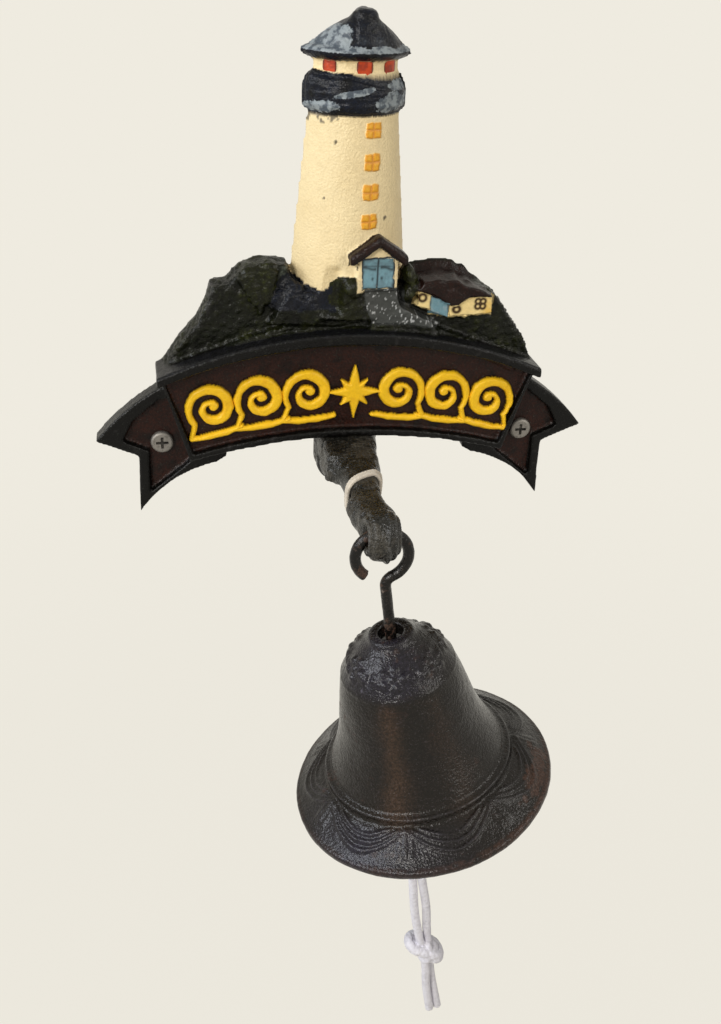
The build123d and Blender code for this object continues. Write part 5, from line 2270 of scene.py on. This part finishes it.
@dataclass(frozen=True)
class ViewPoint:
    """Where the photograph was taken from."""

    place: Tuple[float, float, float] = (-0.073724, -0.388182, 0.18354)
    yaw: float = math.radians(11.9629)
    pitch: float = math.radians(29.2148)
    roll: float = math.radians(2.9858)
    lens: float = 38.76


@dataclass(frozen=True)
class Lamp:
    """A soft box of light."""

    name: str
    place: Tuple[float, float, float]
    aim: Tuple[float, float, float]
    size: float
    power: float
    colour: Colour


@dataclass
class Room:
    """The camera, the lamps and the pale surroundings."""

    view: ViewPoint = ViewPoint()
    lamps: Sequence[Lamp] = (
        Lamp("key light", (-0.62, -0.78, 0.46), (0.0, -0.03, 0.03), 0.3, 6.7, (1.0, 0.97, 0.92)),
        Lamp("fill light", (0.65, -0.85, 0.4), (0.0, -0.03, 0.0), 0.4, 2.9, (1.0, 0.96, 0.9)),
        Lamp("top light", (0.74, -0.36, 0.58), (0.02, -0.07, -0.1), 0.2, 1.9, (1.0, 0.97, 0.93)),
        Lamp("sky light", (-0.85, -0.14, 0.42), (0.02, -0.07, -0.02), 0.42, 5.4, (0.9, 0.94, 1.0)),
    )
    pale: Colour = srgb(239, 235, 224)
    floor_drop: float = -0.62

    def add_camera(self, view: ViewPoint) -> None:
        """Places the camera.

        Args:
            view: Where it stands and how it is turned.
        """
        ahead = Vector(
            (
                math.sin(view.yaw) * math.cos(view.pitch),
                math.cos(view.yaw) * math.cos(view.pitch),
                -math.sin(view.pitch),
            )
        )
        level = Vector((math.cos(view.yaw), -math.sin(view.yaw), 0))
        above = level.cross(ahead)
        right = level * math.cos(view.roll) + above * math.sin(view.roll)
        up = above * math.cos(view.roll) - level * math.sin(view.roll)
        data = bpy.data.cameras.new("camera")
        data.lens = view.lens
        data.sensor_width = 36.0
        data.clip_start = 0.01
        camera = bpy.data.objects.new("camera", data)
        turn = Matrix((right, up, -ahead)).transposed().to_4x4()
        camera.matrix_world = Matrix.Translation(view.place) @ turn
        bpy.context.scene.collection.objects.link(camera)
        bpy.context.scene.camera = camera

    def add_light(self) -> None:
        """Sets up the lamps and the pale surroundings."""
        for lamp in self.lamps:
            data = bpy.data.lights.new(lamp.name, "AREA")
            data.shape = "SQUARE"
            data.size = lamp.size
            data.energy = lamp.power
            data.color = lamp.colour
            obj = bpy.data.objects.new(lamp.name, data)
            obj.location = lamp.place
            aim = Vector(lamp.aim) - Vector(lamp.place)
            obj.rotation_euler = aim.to_track_quat("-Z", "Y").to_euler()
            bpy.context.scene.collection.objects.link(obj)
        world = bpy.data.worlds.new("pale room")
        bpy.context.scene.world = world
        world.use_nodes = True
        nodes, links = world.node_tree.nodes, world.node_tree.links
        nodes.clear()
        room = nodes.new("ShaderNodeBackground")
        room.inputs["Color"].default_value = (*self.pale, 1)
        room.inputs["Strength"].default_value = 0.12
        seen = nodes.new("ShaderNodeBackground")
        seen.inputs["Color"].default_value = (*self.pale, 1)
        either = self.seen_directly(nodes, links)
        mix = nodes.new("ShaderNodeMixShader")
        links.new(either, mix.inputs[0])
        links.new(room.outputs[0], mix.inputs[1])
        links.new(seen.outputs[0], mix.inputs[2])
        output = nodes.new("ShaderNodeOutputWorld")
        links.new(mix.outputs[0], output.inputs["Surface"])

    def seen_directly(self, nodes: bpy.types.Nodes, links: bpy.types.NodeLinks) -> bpy.types.NodeSocket:
        """Tells the rays that show the surroundings from those that light the object.

        Args:
            nodes: The nodes to add to.
            links: Their links.

        Returns:
            A socket that is 1 for camera, glossy and transmission rays.
        """
        path = nodes.new("ShaderNodeLightPath")
        total = path.outputs["Is Camera Ray"]
        for name in ("Is Glossy Ray", "Is Transmission Ray"):
            step = nodes.new("ShaderNodeMath")
            step.operation = "MAXIMUM"
            links.new(total, step.inputs[0])
            links.new(path.outputs[name], step.inputs[1])
            total = step.outputs[0]
        return total

    def add_floor(self) -> None:
        """Lays a pale floor far below, which keeps a faint shadow near the middle."""
        corners = [(-14.0, -6.0), (14.0, -6.0), (14.0, 26.0), (-14.0, 26.0)]
        mesh = bpy.data.meshes.new("floor")
        mesh.from_pydata([(x, y, self.floor_drop) for x, y in corners], [], [(0, 1, 2, 3)])
        floor = bpy.data.objects.new("floor", mesh)
        bpy.context.scene.collection.objects.link(floor)
        recipe = Recipe("pale floor")
        nodes, links = recipe.nodes, recipe.links
        matt = recipe.node("ShaderNodeBsdfDiffuse", {"Color": self.pale})
        pale = recipe.node("ShaderNodeEmission", {"Color": self.pale})
        away = recipe.node("ShaderNodeVectorMath", {0: recipe.place}, "Value", operation="LENGTH")
        plain = away.between(0.2, 1.6) * 0.1 + 0.9
        share = plain * Shade(recipe, self.seen_directly(nodes, links))
        recipe.node_output(recipe.node("ShaderNodeMixShader", {0: share, 1: matt, 2: pale}))
        mesh.materials.append(recipe.material)

    def build(self) -> None:
        """Places the camera, the lamps and the floor."""
        self.add_camera(self.view)
        self.add_light()
        self.add_floor()


def main() -> None:
    """Builds the sub-assemblies in order and sets up the picture."""
    logging.basicConfig(level=logging.INFO)
    bpy.context.scene.view_settings.view_transform = "Standard"
    casting = Enamel(name="painted casting", gloss=0.24, shine=0.16, grain_mm=0.24, wear=0.12, dirt_and_shade=1.0)
    painted = casting.material()
    cream = Enamel(name="cream paint", gloss=0.4, shine=0.3, grain_mm=0.3, wear=0.0, dirt_and_shade=0.1).material()
    bright = Enamel(name="bright paint", gloss=0.34, shine=0.3, grain_mm=0.12, wear=0.0, dirt_and_shade=0.12).material()
    arm_iron = Iron(
        name="arm enamel",
        base=srgb(34, 33, 29),
        patch=srgb(66, 62, 54),
        painted_sheen=srgb(110, 112, 114),
        gloss=0.2,
        grain_mm=0.5,
        patches=(0.47, 0.56),
        shine=0.3,
    )
    bell_iron = Iron(
        name="bell enamel",
        base=None,
        patch=srgb(60, 38, 28),
        painted_sheen=srgb(84, 80, 90),
        gloss=0.2,
        grain_mm=0.26,
        patches=(0.56, 0.68),
        shine=0.26,
    )
    hook_iron = Iron(
        name="hook enamel",
        base=srgb(15, 13, 11),
        patch=srgb(80, 60, 50),
        painted_sheen=srgb(112, 100, 92),
        gloss=0.26,
        grain_mm=0.14,
        patches=(0.54, 0.6),
        shine=0.25,
    )
    clapper_iron = Iron(
        name="clapper enamel",
        base=srgb(34, 30, 28),
        patch=srgb(64, 52, 44),
        painted_sheen=srgb(90, 84, 80),
        gloss=0.45,
        grain_mm=0.2,
        patches=(0.5, 0.62),
        shine=0.25,
    )
    white = Cotton(name="cord cotton", base=srgb(232, 230, 238), shade=srgb(168, 166, 176)).material()
    off_white = Cotton(name="band cotton", base=srgb(214, 204, 188), shade=srgb(150, 134, 116)).material()

    plaque = WallPlaque()
    plaque.build()
    plaque.dress(painted, cream, bright)
    row = OrnamentRow()
    row.build()
    row.dress(bright)
    arm = HangerArm()
    arm.build()
    arm.dress(arm_iron.material(), off_white, PlatedSteel().material())
    hook = BellHook()
    hook.build()
    hook.dress(hook_iron.material())
    bell = FlaredBell()
    bell.build()
    bell.dress(bell_iron.material())
    clapper = Clapper()
    clapper.build()
    clapper.dress(clapper_iron.material())
    cord = PullCord()
    cord.build()
    cord.dress(white)
    Room().build()


if __name__ == "__main__":
    main()
